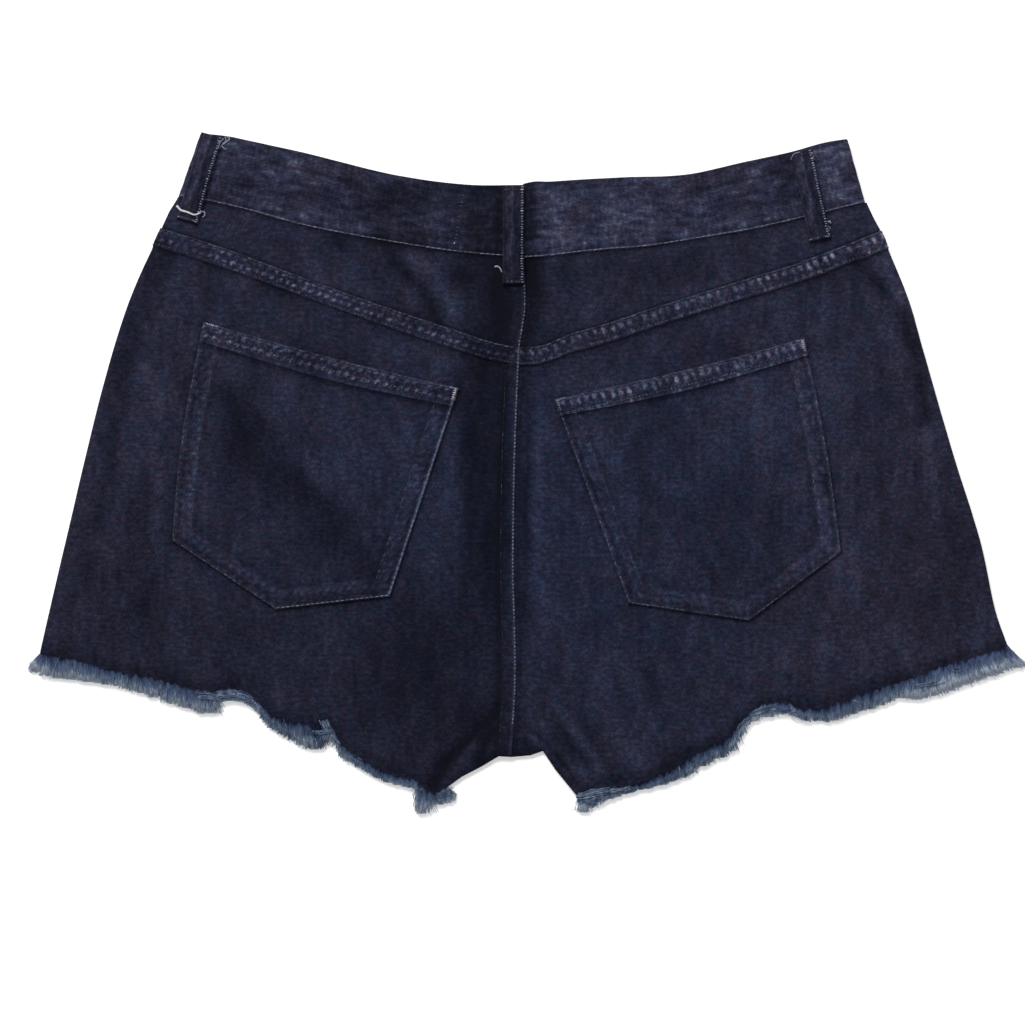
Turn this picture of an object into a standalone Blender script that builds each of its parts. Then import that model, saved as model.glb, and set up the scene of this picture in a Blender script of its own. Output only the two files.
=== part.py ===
"""Cut-off denim shorts lying face down on a flat surface, seen from the back.

X runs to the wearer's right, +Y to the waist and +Z up, out of the back of
the shorts. The origin is under the middle of the garment, on the surface.
The tables are in millimetres and the meshes in metres.

The fronts lie flat at the bottom and the backs lie over them, so the two
layers are a flattened tube. The waistband halves run from the centre back
round the side folds to the fly. Yokes, backs, pockets and loops all take
their height from back_height(), and what lies on a piece is moved out from it.
"""

import math

import bpy
import numpy as np

MM = 0.001

# Driving sizes, mm
CLOTH = 1.2
GAP = 0.3
BAND_WALL = 1.8
LOOP_WALL = 1.6
FRONT_LOOP_WALL = 1.3
LOOP_WIDTH = 12.8
LOOP_SEAT = 0.45
LOOP_ARCH = 0.8
LOOP_ARCH_SHARE = 0.8
LOOP_SLOPE = 0.06
LOOP_EDGE_SHARE = 0.7
BAND_LIP = 0.8
FELL_RISE = 0.9
FELL_EDGE_SHARE = 0.6
POCKET_SEAT = 0.45
LAY_LIFT = 2.6
SIDE_REACH = 8.0
INSEAM_REACH = 10.0
HEM_SHARE = 0.4
HEM_REACH = 45.0
BAND_INSET = {"left": 1.4, "right": 2.5}
UNDERLAP_RISE = BAND_WALL + 0.5
LAP = 16.0
UNDERLAP = 22.0
UNDERLAP_RAMP = 16.0
LAP_SLOPE = 0.07
BAND_LOW = 120.0

# Button at the centre front, mm
BUTTON = {"x": -2.0, "y": 135.5, "radius": 8.5, "cap": 1.0, "shank": 3.2, "height": 1.6}
BUTTON_CLEAR = 10.0
BUTTON_FADE = 34.0
CLOSURE_RISE = 2.1
CLOSURE_CLEAR = 26.0
CLOSURE_FADE = 75.0

# Frayed hems: a sewn-off strip of loose weft that holds tapered locks of warp
STRIP_DROP = 0.7
STRIP_WIDTH = 1.8
STRIP_WALL = 1.0
STRIP_LIFT = 0.1
LOCK_SHARE = 0.74
LOCK_PITCH = {"back": 6.2, "front": 11.0}
LOCK_FRONT_LENGTH = 6.0
LOCK_LEAST = 1.5
LOCK_STAGES = [{"along": 0.55, "width": 0.72, "droop": 0.3},
               {"along": 1.0, "width": 0.34, "droop": 1.0}]

# Outlines (x, y), mm. Left and right are the wearer's, as seen from the back.
SIDE = {
    "left": [(-188, 197), (-195, 178.5), (-201, 160.5), (-206.5, 151.5), (-210.8, 142),
             (-229.3, 100.5), (-243.8, 54), (-255.3, 8), (-266.2, -38.5), (-277.2, -85),
             (-282, -105.5)],
    "right": [(186, 194), (191.5, 175), (196.5, 157), (204.6, 140.5), (220.8, 100.5), (234.2, 54),
              (247.6, 8), (262.2, -38.5), (273, -85), (279, -101)],
}
CENTRE_BACK = [(-2, 167), (-1.6, 124.5), (-0.2, 96), (-3.6, 73.2), (-6, 13.5), (-7, -50),
               (-6, -125.5), (-8.5, -164.5)]
CROTCH_ROW = 3
WAIST_TOP = {
    "left": [(-2, 167), (-30, 167), (-73.5, 172.5), (-131.5, 186.5), (-160, 192.7), (-172, 195.3),
             (-188, 197)],
    "right": [(-2, 167), (10.5, 168.5), (54, 171.5), (95, 173.5), (124, 180), (153, 186.3),
              (174, 192), (186, 194)],
}
BAND_FOOT = {
    "left": [(-2, 124.5), (-44.5, 128.5), (-73.5, 133), (-102.5, 138), (-131.5, 144),
             (-160.5, 152), (-186.5, 158), (-201, 160.5)],
    "right": [(-2, 124.5), (10.5, 125.5), (42.5, 129), (71.5, 131.5), (100.5, 136), (129.5, 141),
              (158.5, 147.5), (196.5, 157)],
}
YOKE_FOOT = {
    "left": [(-3.6, 73.2), (-15.5, 75.5), (-44.5, 84.5), (-73.5, 94), (-102.5, 104),
             (-131.5, 114.5), (-160.5, 125.5), (-189.5, 135.5), (-210.8, 142)],
    "right": [(-3.6, 73.2), (5, 73.7), (28, 82), (42.5, 86), (71.5, 95.5), (100.5, 104.5),
              (129.5, 113.5), (158.5, 122.5), (182, 131.5), (204.6, 140.5)],
}
INSEAM = {
    "left": [(-8.5, -164.5), (-16, -164), (-26, -170), (-37.5, -176), (-46.5, -182.5)],
    "right": [(-8.5, -164.5), (2.5, -163.5), (9.5, -161), (16.5, -171.5), (29.5, -187.5)],
}
# Cut hem of the backs: x, y and how far the fray hangs below it
HEM = {
    "left": [(-282, -105.5, 8), (-270.5, -106.5, 12), (-256, -110, 10.5), (-241.5, -114.5, 7.5),
             (-227, -117, 8.5), (-212.5, -120, 10.5), (-198, -124.5, 11.5),
             (-187.5, -126.5, 13), (-178.5, -125, 8), (-170, -124.5, 7.5),
             (-162.5, -126.5, 7), (-155.5, -132.5, 6.5), (-149, -139.5, 6.5),
             (-140, -142.5, 9.5), (-131.5, -144.5, 12), (-123, -147.5, 13),
             (-120, -144, 11.5), (-115.5, -142.5, 10.5), (-111.5, -150, 8), (-106.5, -158.5, 7),
             (-97.5, -165, 6), (-86, -171, 6), (-74.5, -176, 5), (-63.5, -178, 4.5),
             (-59.5, -183, 11.5), (-55, -186.5, 10), (-46.5, -182.5, 7.5)],
    "right": [(29.5, -187.5, 9.5), (37, -183.5, 13), (46, -182.5, 6.5), (56.5, -182, 4),
              (67, -179, 4), (77.5, -174.5, 6), (89, -168, 8.5), (100.5, -161, 8.5),
              (111, -155, 9.5), (120, -150.5, 9.5), (129.5, -139, 6.5),
              (135.5, -134.5, 8), (144, -133, 7.5), (153, -133.5, 6), (158.5, -137, 5),
              (170, -136.5, 7.5), (180.5, -133, 8.5), (190.5, -128, 10.5), (202, -125, 9.5),
              (215, -122, 8.5), (228, -117, 14), (242.5, -112, 15), (257, -107.5, 14),
              (270, -103.5, 14), (279, -101, 11)],
}
POCKET = {
    "left": {"outer_top": (-187, 88), "inner_top": (-39, 49.5), "inner_foot": (-79, -71.5),
             "point": (-145.5, -79), "outer_foot": (-205.5, -39), "bow": -3.0},
    "right": {"outer_top": (161, 78.5), "inner_top": (16, 43), "inner_foot": (59, -75.5),
              "point": (129, -85.5), "outer_foot": (182.5, -45.5), "bow": 2.0},
}
# The fronts and their waist sit a little lower and inside, so the backs hide them
FRONT_WAIST = {
    "left": [(-188, 197), (-160.5, 186), (-102.5, 169.5), (-50, 160), (-2, 155.5)],
    "right": [(186, 194), (153, 182), (100.5, 167), (48.5, 159), (-2, 155.5)],
}
FRONT_FOOT = {
    "left": [(-201, 160.5), (-160.5, 145.5), (-102.5, 129), (-50, 120), (-2, 115.5)],
    "right": [(196.5, 157), (153, 143.5), (100.5, 128), (48.5, 119), (-2, 115.5)],
}
CENTRE_FRONT = [(-2, 115.5), (-2, 60), (-4, -60), (-7, -158)]
FRONT_INSEAM = {
    "left": [(-7, -158), (-26, -164), (-54, -176)],
    "right": [(-7, -158), (11, -160), (38, -178)],
}
FRONT_HEM = {
    "left": [(-279, -102.5), (-241.5, -109.5), (-198, -119), (-170, -124.5), (-153.5, -131),
             (-131.5, -139), (-108, -153.5), (-85, -165), (-54, -176)],
    "right": [(38, -178), (66, -174), (100.5, -155.5), (126.5, -139), (144, -132.5),
              (164.5, -130), (199, -121.5), (237, -109.5), (276.5, -98)],
}
FLY = {"inner": -20.0, "outer": 16.0, "top": 100.0, "foot": -30.0}
# Belt loops: middle of the top end and of the foot
LOOPS = {
    "belt_loop_back": {"top": (-7.6, 166.2), "foot": (-7.6, 109.8), "side": "left", "over_fell": True},
    "belt_loop_left": {"top": (-182, 196), "foot": (-194.2, 146.5), "side": "left",
                       "over_fell": False},
    "belt_loop_right": {"top": (159, 186.5), "foot": (170, 135.5), "side": "right",
                        "over_fell": False},
}
FRONT_LOOPS = {
    "belt_loop_front_left": {"top": (-98, 167), "foot": (-103, 118)},
    "belt_loop_front_right": {"top": (98, 165.5), "foot": (103, 116.5)},
}
FRONT_LOOP_CLEAR = 11.0
FRONT_LOOP_FADE = 27.0

# Folds of the back layer: from (x0, y0) to (x1, y1), rise above the lay, half width
FOLDS = [
    {"x0": -117, "y0": 136, "x1": -90, "y1": 122, "rise": -1.0, "wide": 9},
    {"x0": -70, "y0": 121, "x1": -44, "y1": 86, "rise": -0.9, "wide": 8},
    {"x0": -28, "y0": 118, "x1": -22, "y1": 84, "rise": -0.8, "wide": 9},
    {"x0": -37, "y0": 74, "x1": -29, "y1": -96, "rise": -1.2, "wide": 13},
    {"x0": -58, "y0": 40, "x1": -52, "y1": -90, "rise": 0.7, "wide": 14},
    {"x0": 10, "y0": 118, "x1": 10, "y1": 84, "rise": -0.9, "wide": 8},
    {"x0": 9, "y0": 62, "x1": 13, "y1": -80, "rise": -0.7, "wide": 11},
    {"x0": 34, "y0": 10, "x1": 36, "y1": -110, "rise": 0.6, "wide": 15},
    {"x0": -168, "y0": 60, "x1": -100, "y1": -60, "rise": -0.9, "wide": 22},
    {"x0": -120, "y0": 60, "x1": -88, "y1": 0, "rise": 0.7, "wide": 20},
    {"x0": 96, "y0": 50, "x1": 120, "y1": -50, "rise": 0.6, "wide": 26},
    {"x0": 199, "y0": 122, "x1": 224, "y1": 74, "rise": -1.1, "wide": 8},
    {"x0": -16, "y0": -130, "x1": -50, "y1": -172, "rise": -1.3, "wide": 9},
    {"x0": -24, "y0": -118, "x1": -66, "y1": -160, "rise": 0.9, "wide": 10},
    {"x0": 2, "y0": -150, "x1": 24, "y1": -176, "rise": 0.8, "wide": 8},
    {"x0": 22, "y0": -128, "x1": 44, "y1": -162, "rise": -0.9, "wide": 10},
    {"x0": -230, "y0": -20, "x1": -214, "y1": -96, "rise": -0.8, "wide": 18},
    {"x0": 196, "y0": -20, "x1": 214, "y1": -96, "rise": 0.7, "wide": 20},
    {"x0": 150, "y0": -104, "x1": 100, "y1": -124, "rise": -0.8, "wide": 14},
    {"x0": -150, "y0": -108, "x1": -100, "y1": -124, "rise": 0.7, "wide": 14},
]

# Sides of a grid cell near an edge, mm from that edge
EDGE_STEPS = (0.0, 1.2, 3.5, 8.0)
CENTRE_FELL_STEPS = (0.6, 8.4, 9.0)
PANEL_ROWS = (0, 0.6, 10.9, 11.5, 26, 44, 66, 90, 116, 142, 168, 192, 212, 228, 244, 258)
NOTCH_FADE = 7.0
TREND_PASSES = 12
POCKET_ROWS = (0, 0.5, 10.5, 11, 24, 38, 54, 70, 86, 104, 122)
POCKET_TOP_SAG = 1.5
BAND_ROWS = (0.0, 0.05, 0.5, 0.95, 1.0)
BAND_EDGE_SHARE = 0.6
LOOP_ROWS = (0.0, 0.06, 0.2, 0.4, 0.58, 0.70, 0.76, 0.84, 0.94, 1.0)
LOOP_DIP = 4
LOOP_COLUMNS = (0.0, 0.14, 0.38, 0.62, 0.86, 1.0)

# sRGB colours of the finishes
INDIGO = (0.137, 0.145, 0.208)
INDIGO_BAND = (0.18, 0.18, 0.25)
FRAY_BLUE = (0.42, 0.50, 0.64)
BRASS = (0.62, 0.52, 0.34)


def clear_scene():
    """Remove every object, so that only the shorts are in the file."""
    for item in list(bpy.data.objects):
        bpy.data.objects.remove(item, do_unlink=True)


def linear(srgb):
    """Turn an sRGB colour into the linear values that a shader takes."""
    return tuple(v / 12.92 if v <= 0.04045 else ((v + 0.055) / 1.055) ** 2.4 for v in srgb)


def finish(name, srgb, roughness, metallic=0.0):
    """Make one plain material."""
    material = bpy.data.materials.new(name)
    material.use_nodes = True
    shader = material.node_tree.nodes["Principled BSDF"]
    shader.inputs["Base Color"].default_value = (*linear(srgb), 1.0)
    shader.inputs["Roughness"].default_value = roughness
    shader.inputs["Metallic"].default_value = metallic
    return material


# ---------------------------------------------------------------- curves and distances

def smooth_curve(points, fractions):
    """Points of a smooth curve through the given ones, at fractions of its chord length."""
    knots = np.asarray(points, float)
    chord = np.linalg.norm(np.diff(knots, axis=0), axis=1)
    place = np.concatenate(([0.0], np.cumsum(chord)))
    slope = np.gradient(knots, place, axis=0)
    wanted = np.asarray(fractions, float) * place[-1]
    cell = np.clip(np.searchsorted(place, wanted, side="right") - 1, 0, len(chord) - 1)
    width = chord[cell][:, None]
    t = (wanted[:, None] - place[cell][:, None]) / width
    near = (1 + 2 * t) * (1 - t) ** 2 * knots[cell] + t * (1 - t) ** 2 * width * slope[cell]
    far = t * t * (3 - 2 * t) * knots[cell + 1] - t * t * (1 - t) * width * slope[cell + 1]
    return near + far


def straight_curve(points, fractions):
    """Points of a polyline at fractions of its length."""
    knots = np.asarray(points, float)
    chord = np.linalg.norm(np.diff(knots[:, :2], axis=0), axis=1)
    place = np.concatenate(([0.0], np.cumsum(chord))) / chord.sum()
    return np.stack([np.interp(fractions, place, column) for column in knots.T], axis=1)


def fractions_of(points):
    """The fraction of a polyline's length at each of its points."""
    knots = np.asarray(points, float)[:, :2]
    chord = np.linalg.norm(np.diff(knots, axis=0), axis=1)
    return np.concatenate(([0.0], np.cumsum(chord))) / chord.sum()


def distance_to(path, x, y):
    """Distance in plan from each place to a polyline."""
    best = np.full(np.shape(x), np.inf)
    for (ax, ay), (bx, by) in zip(path[:-1], path[1:]):
        dx = bx - ax
        dy = by - ay
        t = np.clip(((x - ax) * dx + (y - ay) * dy) / (dx * dx + dy * dy), 0, 1)
        best = np.minimum(best, np.hypot(x - ax - t * dx, y - ay - t * dy))
    return best


def plateau(distance, clear, fade):
    """1 within the clear distance, 0 past the fade, with a smooth slope between."""
    t = np.clip((fade - distance) / (fade - clear), 0, 1)
    return t * t * (3 - 2 * t)


def rounded(distance, reach):
    """Quarter of an ellipse: 0 on the edge, 1 from the reach inwards."""
    t = np.clip(distance / reach, 0, 1)
    return np.sqrt(1 - (1 - t) ** 2)


# ---------------------------------------------------------------- heights of the two layers

SMOOTH_SIDE = {side: smooth_curve(SIDE[side], np.linspace(0, 1, 40)) for side in SIDE}


def front_height(x, y):
    """Outer face of the front layer: flat, but lifted over the button and the front loops."""
    button = np.hypot(x - BUTTON["x"], y - BUTTON["y"])
    lift = (BUTTON["height"] + GAP) * plateau(button, BUTTON_CLEAR, BUTTON_FADE)
    for loop in FRONT_LOOPS.values():
        away = distance_to([loop["top"], loop["foot"]], x, y)
        loop_lift = (FRONT_LOOP_WALL + GAP) * plateau(away, FRONT_LOOP_CLEAR, FRONT_LOOP_FADE)
        lift = np.maximum(lift, loop_lift)
    return lift


def back_height(x, y):
    """Inner face of the back layer: a shallow lay with round folds at the sides."""
    lay = np.ones(np.shape(x))
    for side in SIDE:
        lay = np.minimum(lay, rounded(distance_to(SMOOTH_SIDE[side], x, y), SIDE_REACH))
        lay = np.minimum(lay, rounded(distance_to(INSEAM[side], x, y), INSEAM_REACH))
    closure = np.hypot(x - BUTTON["x"], y - BUTTON["y"])
    rise = LAY_LIFT + CLOSURE_RISE * plateau(closure, CLOSURE_CLEAR, CLOSURE_FADE)
    for fold in FOLDS:
        away = distance_to([(fold["x0"], fold["y0"]), (fold["x1"], fold["y1"])], x, y)
        rise = rise + fold["rise"] * np.exp(-(away / fold["wide"]) ** 2)
    return np.maximum(CLOTH + GAP + rise * lay, front_height(x, y) * lay + CLOTH + GAP
                      + BAND_WALL * plateau(-y, -BAND_LOW, -BAND_LOW + 20.0) * lay)


def hem_height(x, y, from_hem):
    """The back layer sinks towards its cut hem and lies close on the front there."""
    settle = HEM_SHARE + (1 - HEM_SHARE) * plateau(-np.asarray(from_hem), -HEM_REACH, 0.0)
    return CLOTH + GAP + (back_height(x, y) - CLOTH - GAP) * settle


# ---------------------------------------------------------------- walls from grids

def patch(top, foot, left, right, columns, rows):
    """Fill four edge curves, each already cut at the columns or rows, with a grid.

    How far a side bulges from its chord fades evenly across the grid. How far the foot dips
    from its own trend fades fast above it, so that a notch stays near the edge.
    """
    u = np.asarray(columns)[None, :, None]
    v = np.asarray(rows)[:, None, None]
    steady = trend(foot)
    across = (1 - v) * top[None] + v * steady[None] + v ** NOTCH_FADE * (foot - steady)[None]
    left_chord = left[0] + (left[-1] - left[0]) * v[:, 0]
    right_chord = right[0] + (right[-1] - right[0]) * v[:, 0]
    return across + (1 - u) * (left - left_chord)[:, None] + u * (right - right_chord)[:, None]


def trend(line):
    """A line's slow course: each point averaged with its neighbours, the ends kept."""
    steady = line.copy()
    for _ in range(TREND_PASSES):
        steady[1:-1] = (steady[:-2] + 2 * steady[1:-1] + steady[2:]) / 4
    return steady


def grid_normals(grid):
    """Unit normals of a grid of points, from its neighbours along rows and columns."""
    along = np.gradient(grid, axis=1)
    down = np.gradient(grid, axis=0)
    normal = np.cross(down, along)
    return normal / np.linalg.norm(normal, axis=2, keepdims=True)


def wall(name, under, over, material):
    """Close two matching grids into one solid, the over grid facing out."""
    rows, columns = under.shape[:2]
    points = np.concatenate([under.reshape(-1, 3), over.reshape(-1, 3)]) * MM
    lift = rows * columns

    def at(row, column, layer):
        return layer * lift + row * columns + column

    faces = []
    for row in range(rows - 1):
        for column in range(columns - 1):
            corner = [(row, column), (row + 1, column), (row + 1, column + 1), (row, column + 1)]
            faces.append([at(r, c, 1) for r, c in corner])
            faces.append([at(r, c, 0) for r, c in reversed(corner)])
    rim = [(0, c) for c in range(columns)]
    rim += [(r, columns - 1) for r in range(1, rows)]
    rim += [(rows - 1, c) for c in range(columns - 2, -1, -1)]
    rim += [(r, 0) for r in range(rows - 2, 0, -1)]
    for here, after in zip(rim, rim[1:] + rim[:1]):
        faces.append([at(*here, 0), at(*here, 1), at(*after, 1), at(*after, 0)])
    return add_object(name, points, faces, material)


def add_object(name, points, faces, material):
    """Make an object from points and faces, shaded smooth but for its edges."""
    mesh = bpy.data.meshes.new(name)
    mesh.from_pydata([tuple(p) for p in points], [], faces)
    mesh.validate()
    mesh.materials.append(material)
    mesh.shade_smooth()
    mesh.set_sharp_from_angle(angle=math.radians(40))
    item = bpy.data.objects.new(name, mesh)
    bpy.context.scene.collection.objects.link(item)
    return item


def lay_on(plan, height):
    """Give each point of a plan grid its height."""
    return np.concatenate([plan, height(plan[..., 0], plan[..., 1])[..., None]], axis=2)


def merged(fixed, others, least):
    """The fixed fractions, and those of the others that keep their distance from all before."""
    kept = list(fixed)
    for value in others:
        if min(abs(value - known) for known in kept) >= least:
            kept.append(value)
    return np.array(sorted(kept))


# ---------------------------------------------------------------- sewn pieces of the back

def foot_knots(side):
    """The foot of a back leg from left to right: its cut hem and its inseam, with the fray."""
    inseam = [(x, y, 0) for x, y in INSEAM[side]]
    if side == "left":
        return np.array(HEM[side] + inseam[::-1][1:], float)
    return np.array(inseam[:-1] + HEM[side], float)


def leg_columns(side):
    """Places across a leg: close at its side fold and centre seam, else at the foot's points."""
    foot = foot_knots(side)
    start = foot[0, 0]
    span = foot[-1, 0] - start
    outer = [step / span for step in EDGE_STEPS]
    corner = (HEM[side][-1 if side == "left" else 0][0] - start) / span
    if side == "left":
        fixed = outer + [1 - step / span for step in (0.0,) + CENTRE_FELL_STEPS] + [corner]
    else:
        fixed = [1 - value for value in outer] + [0.0, corner]
    return merged(fixed, (foot[:, 0] - start) / span, 3.0 / span)


def foot_line(side):
    """The foot of a back leg at the leg's columns, and which of its points are on the hem."""
    foot = foot_knots(side)
    x = foot[0, 0] + leg_columns(side) * (foot[-1, 0] - foot[0, 0])
    line = np.stack([np.interp(x, foot[:, 0], column) for column in foot.T], axis=1)
    low, high = sorted((HEM[side][0][0], HEM[side][-1][0]))
    return line, (x > low - 0.01) & (x < high + 0.01)


def back_panel(side, material):
    """One back leg, from the yoke seam to the cut hem, with its felled seam bands raised."""
    columns = leg_columns(side)
    rows = np.array(PANEL_ROWS) / PANEL_ROWS[-1]
    outer = smooth_curve([point for point in SIDE[side] if point[1] <= YOKE_FOOT[side][-1][1]], rows)
    centre = smooth_curve(CENTRE_BACK[CROTCH_ROW:], rows)
    if side == "left":
        centre[:, 0] -= GAP / 2
        top = smooth_curve(YOKE_FOOT[side][::-1], columns)
        left, right = outer, centre
    else:
        centre[:, 0] += GAP / 2
        top = smooth_curve(YOKE_FOOT[side], columns)
        left, right = centre, outer
    top[:, 1] -= GAP / 2
    foot = foot_line(side)[0][:, :2]
    left[0], right[0] = (left[0][0], top[0][1]), (right[0][0], top[-1][1])
    top[0], top[-1] = left[0], right[0]
    foot[0], foot[-1] = left[-1], right[-1]
    plan = patch(top, foot, left, right, columns, rows)
    from_hem = (1 - rows)[:, None] * PANEL_ROWS[-1] * np.ones(len(columns))
    height = hem_height(plan[..., 0], plan[..., 1], from_hem)
    under = np.concatenate([plan, height[..., None]], axis=2)
    thick = np.full(height.shape, CLOTH)
    thick[1:3] += FELL_RISE
    thick[0] += FELL_RISE * FELL_EDGE_SHARE
    if side == "left":
        thick[:, -3:-1] = CLOTH + FELL_RISE
        thick[:, -1] = CLOTH + FELL_RISE * FELL_EDGE_SHARE
    facing = grid_normals(under)
    facing[-1] = (0, 0, 1)
    facing[:, -1 if side == "left" else 0] = (0, 0, 1)
    over = under + facing * thick[..., None]
    return wall("back_panel_" + side, under, over, material)


def back_yoke(side, material):
    """The wedge between the waistband and the leg."""
    span = abs(YOKE_FOOT[side][-1][0] - YOKE_FOOT[side][0][0])
    fixed = [0.0] + [1 - step / span for step in EDGE_STEPS]
    if side == "left":
        fixed += [step / span for step in CENTRE_FELL_STEPS]
    columns = merged(fixed, np.linspace(0, 1, 15), 4.0 / span)
    rows = np.array([0.0, 0.2, 0.4, 0.6, 0.8, 1.0])
    top = smooth_curve(BAND_FOOT[side], columns)
    foot = smooth_curve(YOKE_FOOT[side], columns)
    top[:, 1] -= GAP
    foot[:, 1] += GAP / 2
    seam = smooth_curve(CENTRE_BACK[1:CROTCH_ROW + 1], rows)
    seam[:, 0] += -GAP / 2 if side == "left" else GAP / 2
    edge_knots = [BAND_FOOT[side][-1]] + [p for p in SIDE[side]
                                         if YOKE_FOOT[side][-1][1] <= p[1] < BAND_FOOT[side][-1][1]]
    edge = smooth_curve(edge_knots, rows)
    seam[0], seam[-1] = (seam[0][0], top[0][1]), (seam[-1][0], foot[0][1])
    edge[0], edge[-1] = top[-1], foot[-1]
    top[0], foot[0] = seam[0], seam[-1]
    plan = patch(top, foot, seam, edge, columns, rows)
    under = lay_on(plan, back_height)
    thick = np.full(plan.shape[:2], CLOTH)
    if side == "left":
        thick[:, 1:3] += FELL_RISE
        thick[:, 0] += FELL_RISE * FELL_EDGE_SHARE
        under = under[:, ::-1]
        thick = thick[:, ::-1]
    over = under + grid_normals(under) * thick[..., None]
    return wall("back_yoke_" + side, under, over, material)


def back_pocket(side, material):
    """A pointed patch pocket on the leg's surface, with its folded hem raised along the top."""
    shape = POCKET[side]
    foot_knots = [shape["outer_foot"], shape["point"], shape["inner_foot"]]
    corner = fractions_of(foot_knots)[1]
    columns = np.concatenate([np.linspace(0, corner, 7), np.linspace(corner, 1, 7)[1:]])
    rows = np.array(POCKET_ROWS) / POCKET_ROWS[-1]
    top = straight_curve([shape["outer_top"], shape["inner_top"]], columns)
    top[:, 1] -= POCKET_TOP_SAG * np.sin(np.pi * columns)
    foot = straight_curve(foot_knots, columns)
    outer = straight_curve([shape["outer_top"], shape["outer_foot"]], rows)
    outer[:, 0] += shape["bow"] * np.sin(np.pi * rows)
    inner = straight_curve([shape["inner_top"], shape["inner_foot"]], rows)
    plan = patch(top, foot, outer, inner, columns, rows)
    if side == "right":
        plan = plan[:, ::-1]
    under = lay_on(plan, back_height)
    under[..., 2] += CLOTH + POCKET_SEAT
    thick = np.full(plan.shape[:2], CLOTH)
    thick[1:3] += FELL_RISE
    thick[0] += FELL_RISE * FELL_EDGE_SHARE
    over = under + np.array([0, 0, 1.0]) * thick[..., None]
    return wall("back_pocket_" + side, under, over, material)


# ---------------------------------------------------------------- waistband and loops

def band_leg(top, foot):
    """Plan points of one leg of the waistband, a column of points for each pair of ends."""
    foot = foot + (0, GAP / 2)
    rows = np.array(BAND_ROWS)[:, None, None]
    return (1 - rows) * top[None] + rows * foot[None]


def drawn_in(knots, inset):
    """Pull the last point of a curve back along the curve's end."""
    last = np.array(knots[-1], float)
    before = np.array(knots[-2], float)
    back = (before - last) / np.linalg.norm(before - last)
    return list(knots[:-1]) + [tuple(last + back * inset)]


def waistband(side, material):
    """A waistband half: along the back, round the side fold, and along the front to the fly."""
    back_spots = np.linspace(0, 1, 13)
    front_spots = np.linspace(0, 1, 18)
    top = drawn_in(WAIST_TOP[side], BAND_INSET[side])
    foot = drawn_in(BAND_FOOT[side], BAND_INSET[side])
    back_plan = band_leg(smooth_curve(top, back_spots), smooth_curve(foot, back_spots))
    back = lay_on(back_plan, back_height)
    back[..., 2] += BAND_WALL / 2
    shift = -GAP / 2 if side == "left" else GAP / 2
    back[:, 0, 0] += shift
    front_top = smooth_curve([top[-1]] + FRONT_WAIST[side][1:], front_spots)
    front_foot = smooth_curve([foot[-1]] + FRONT_FOOT[side][1:], front_spots)
    lap = np.linspace(0, LAP if side == "left" else -UNDERLAP, 4)[1:, None]
    lap = np.concatenate([lap, LAP_SLOPE * np.abs(lap)], axis=1)
    front_top = np.concatenate([front_top, front_top[-1] + lap])
    front_foot = np.concatenate([front_foot, front_foot[-1] + lap])
    front = lay_on(band_leg(front_top, front_foot), front_height)
    front[..., 2] += BAND_WALL / 2
    if side == "right":
        lap_edge = CENTRE_FRONT[0][0] + LAP
        under = plateau(front[..., 0], lap_edge + 1, lap_edge + UNDERLAP_RAMP)
        front[..., 2] += UNDERLAP_RISE * under
    turns = []
    outward = back[:, -1] - back[:, -2]
    outward[:, 2] = 0
    outward /= np.linalg.norm(outward, axis=1, keepdims=True)
    for angle in np.radians([45, 0, -45]):
        middle = (back[:, -1, 2] + front[:, 0, 2]) / 2
        radius = (back[:, -1, 2] - front[:, 0, 2]) / 2
        turn = back[:, -1] + outward * (radius * np.cos(angle))[:, None]
        turn[:, 2] = middle + radius * np.sin(angle)
        turns.append(turn[:, None])
    middle_face = np.concatenate([back] + turns + [front], axis=1)
    if side == "left":
        middle_face = middle_face[:, ::-1]
    normal = grid_normals(middle_face)
    share = np.array([BAND_EDGE_SHARE, 1, 1, 1, BAND_EDGE_SHARE])[:, None, None]
    half = normal * BAND_WALL / 2 * share
    return wall("waistband_" + side, middle_face - half, middle_face + half, material)


def on_back(x, y, side):
    """Outer face of the back at a place: the waistband above its foot, the yoke below it."""
    line = smooth_curve(BAND_FOOT[side], np.linspace(0, 1, 30))
    order = np.argsort(line[:, 0])
    foot = np.interp(x, line[order, 0], line[order, 1])
    return back_height(x, y) + np.where(y > foot - BAND_LIP, BAND_WALL, CLOTH)


def belt_loop(name, material):
    """A sewn-down strap over the waistband, its middle arched clear of it."""
    loop = LOOPS[name]
    top = np.array(loop["top"], float)
    foot = np.array(loop["foot"], float)
    down = (foot - top) / np.linalg.norm(foot - top)
    across = np.array([-down[1], down[0]])
    rows = np.array(LOOP_ROWS)[:, None, None]
    columns = (np.array(LOOP_COLUMNS) - 0.5)[None, :, None] * LOOP_WIDTH
    plan = top + (foot - top) * rows + across * columns
    under = lay_on(plan, lambda x, y: on_back(x, y, loop["side"]))
    arch = LOOP_ARCH * np.sin(np.pi * np.clip(np.array(LOOP_ROWS) / LOOP_ARCH_SHARE, 0, 1))
    under[..., 2] += LOOP_SEAT + arch[:, None]
    run = np.array(LOOP_ROWS)[LOOP_DIP:, None] * np.linalg.norm(foot - top)
    sloped = under[LOOP_DIP, :, 2] - LOOP_SLOPE * (run - run[0])
    under[LOOP_DIP:, :, 2] = np.maximum(under[LOOP_DIP:, :, 2], sloped)
    if loop["over_fell"]:
        under[LOOP_DIP + 2:, :, 2] += FELL_RISE
    thick = np.full(under.shape[:2], LOOP_WALL)
    thick[:, [0, -1]] *= LOOP_EDGE_SHARE
    over = under + np.array([0, 0, 1.0]) * thick[..., None]
    return wall(name, under, over, material)


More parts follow.
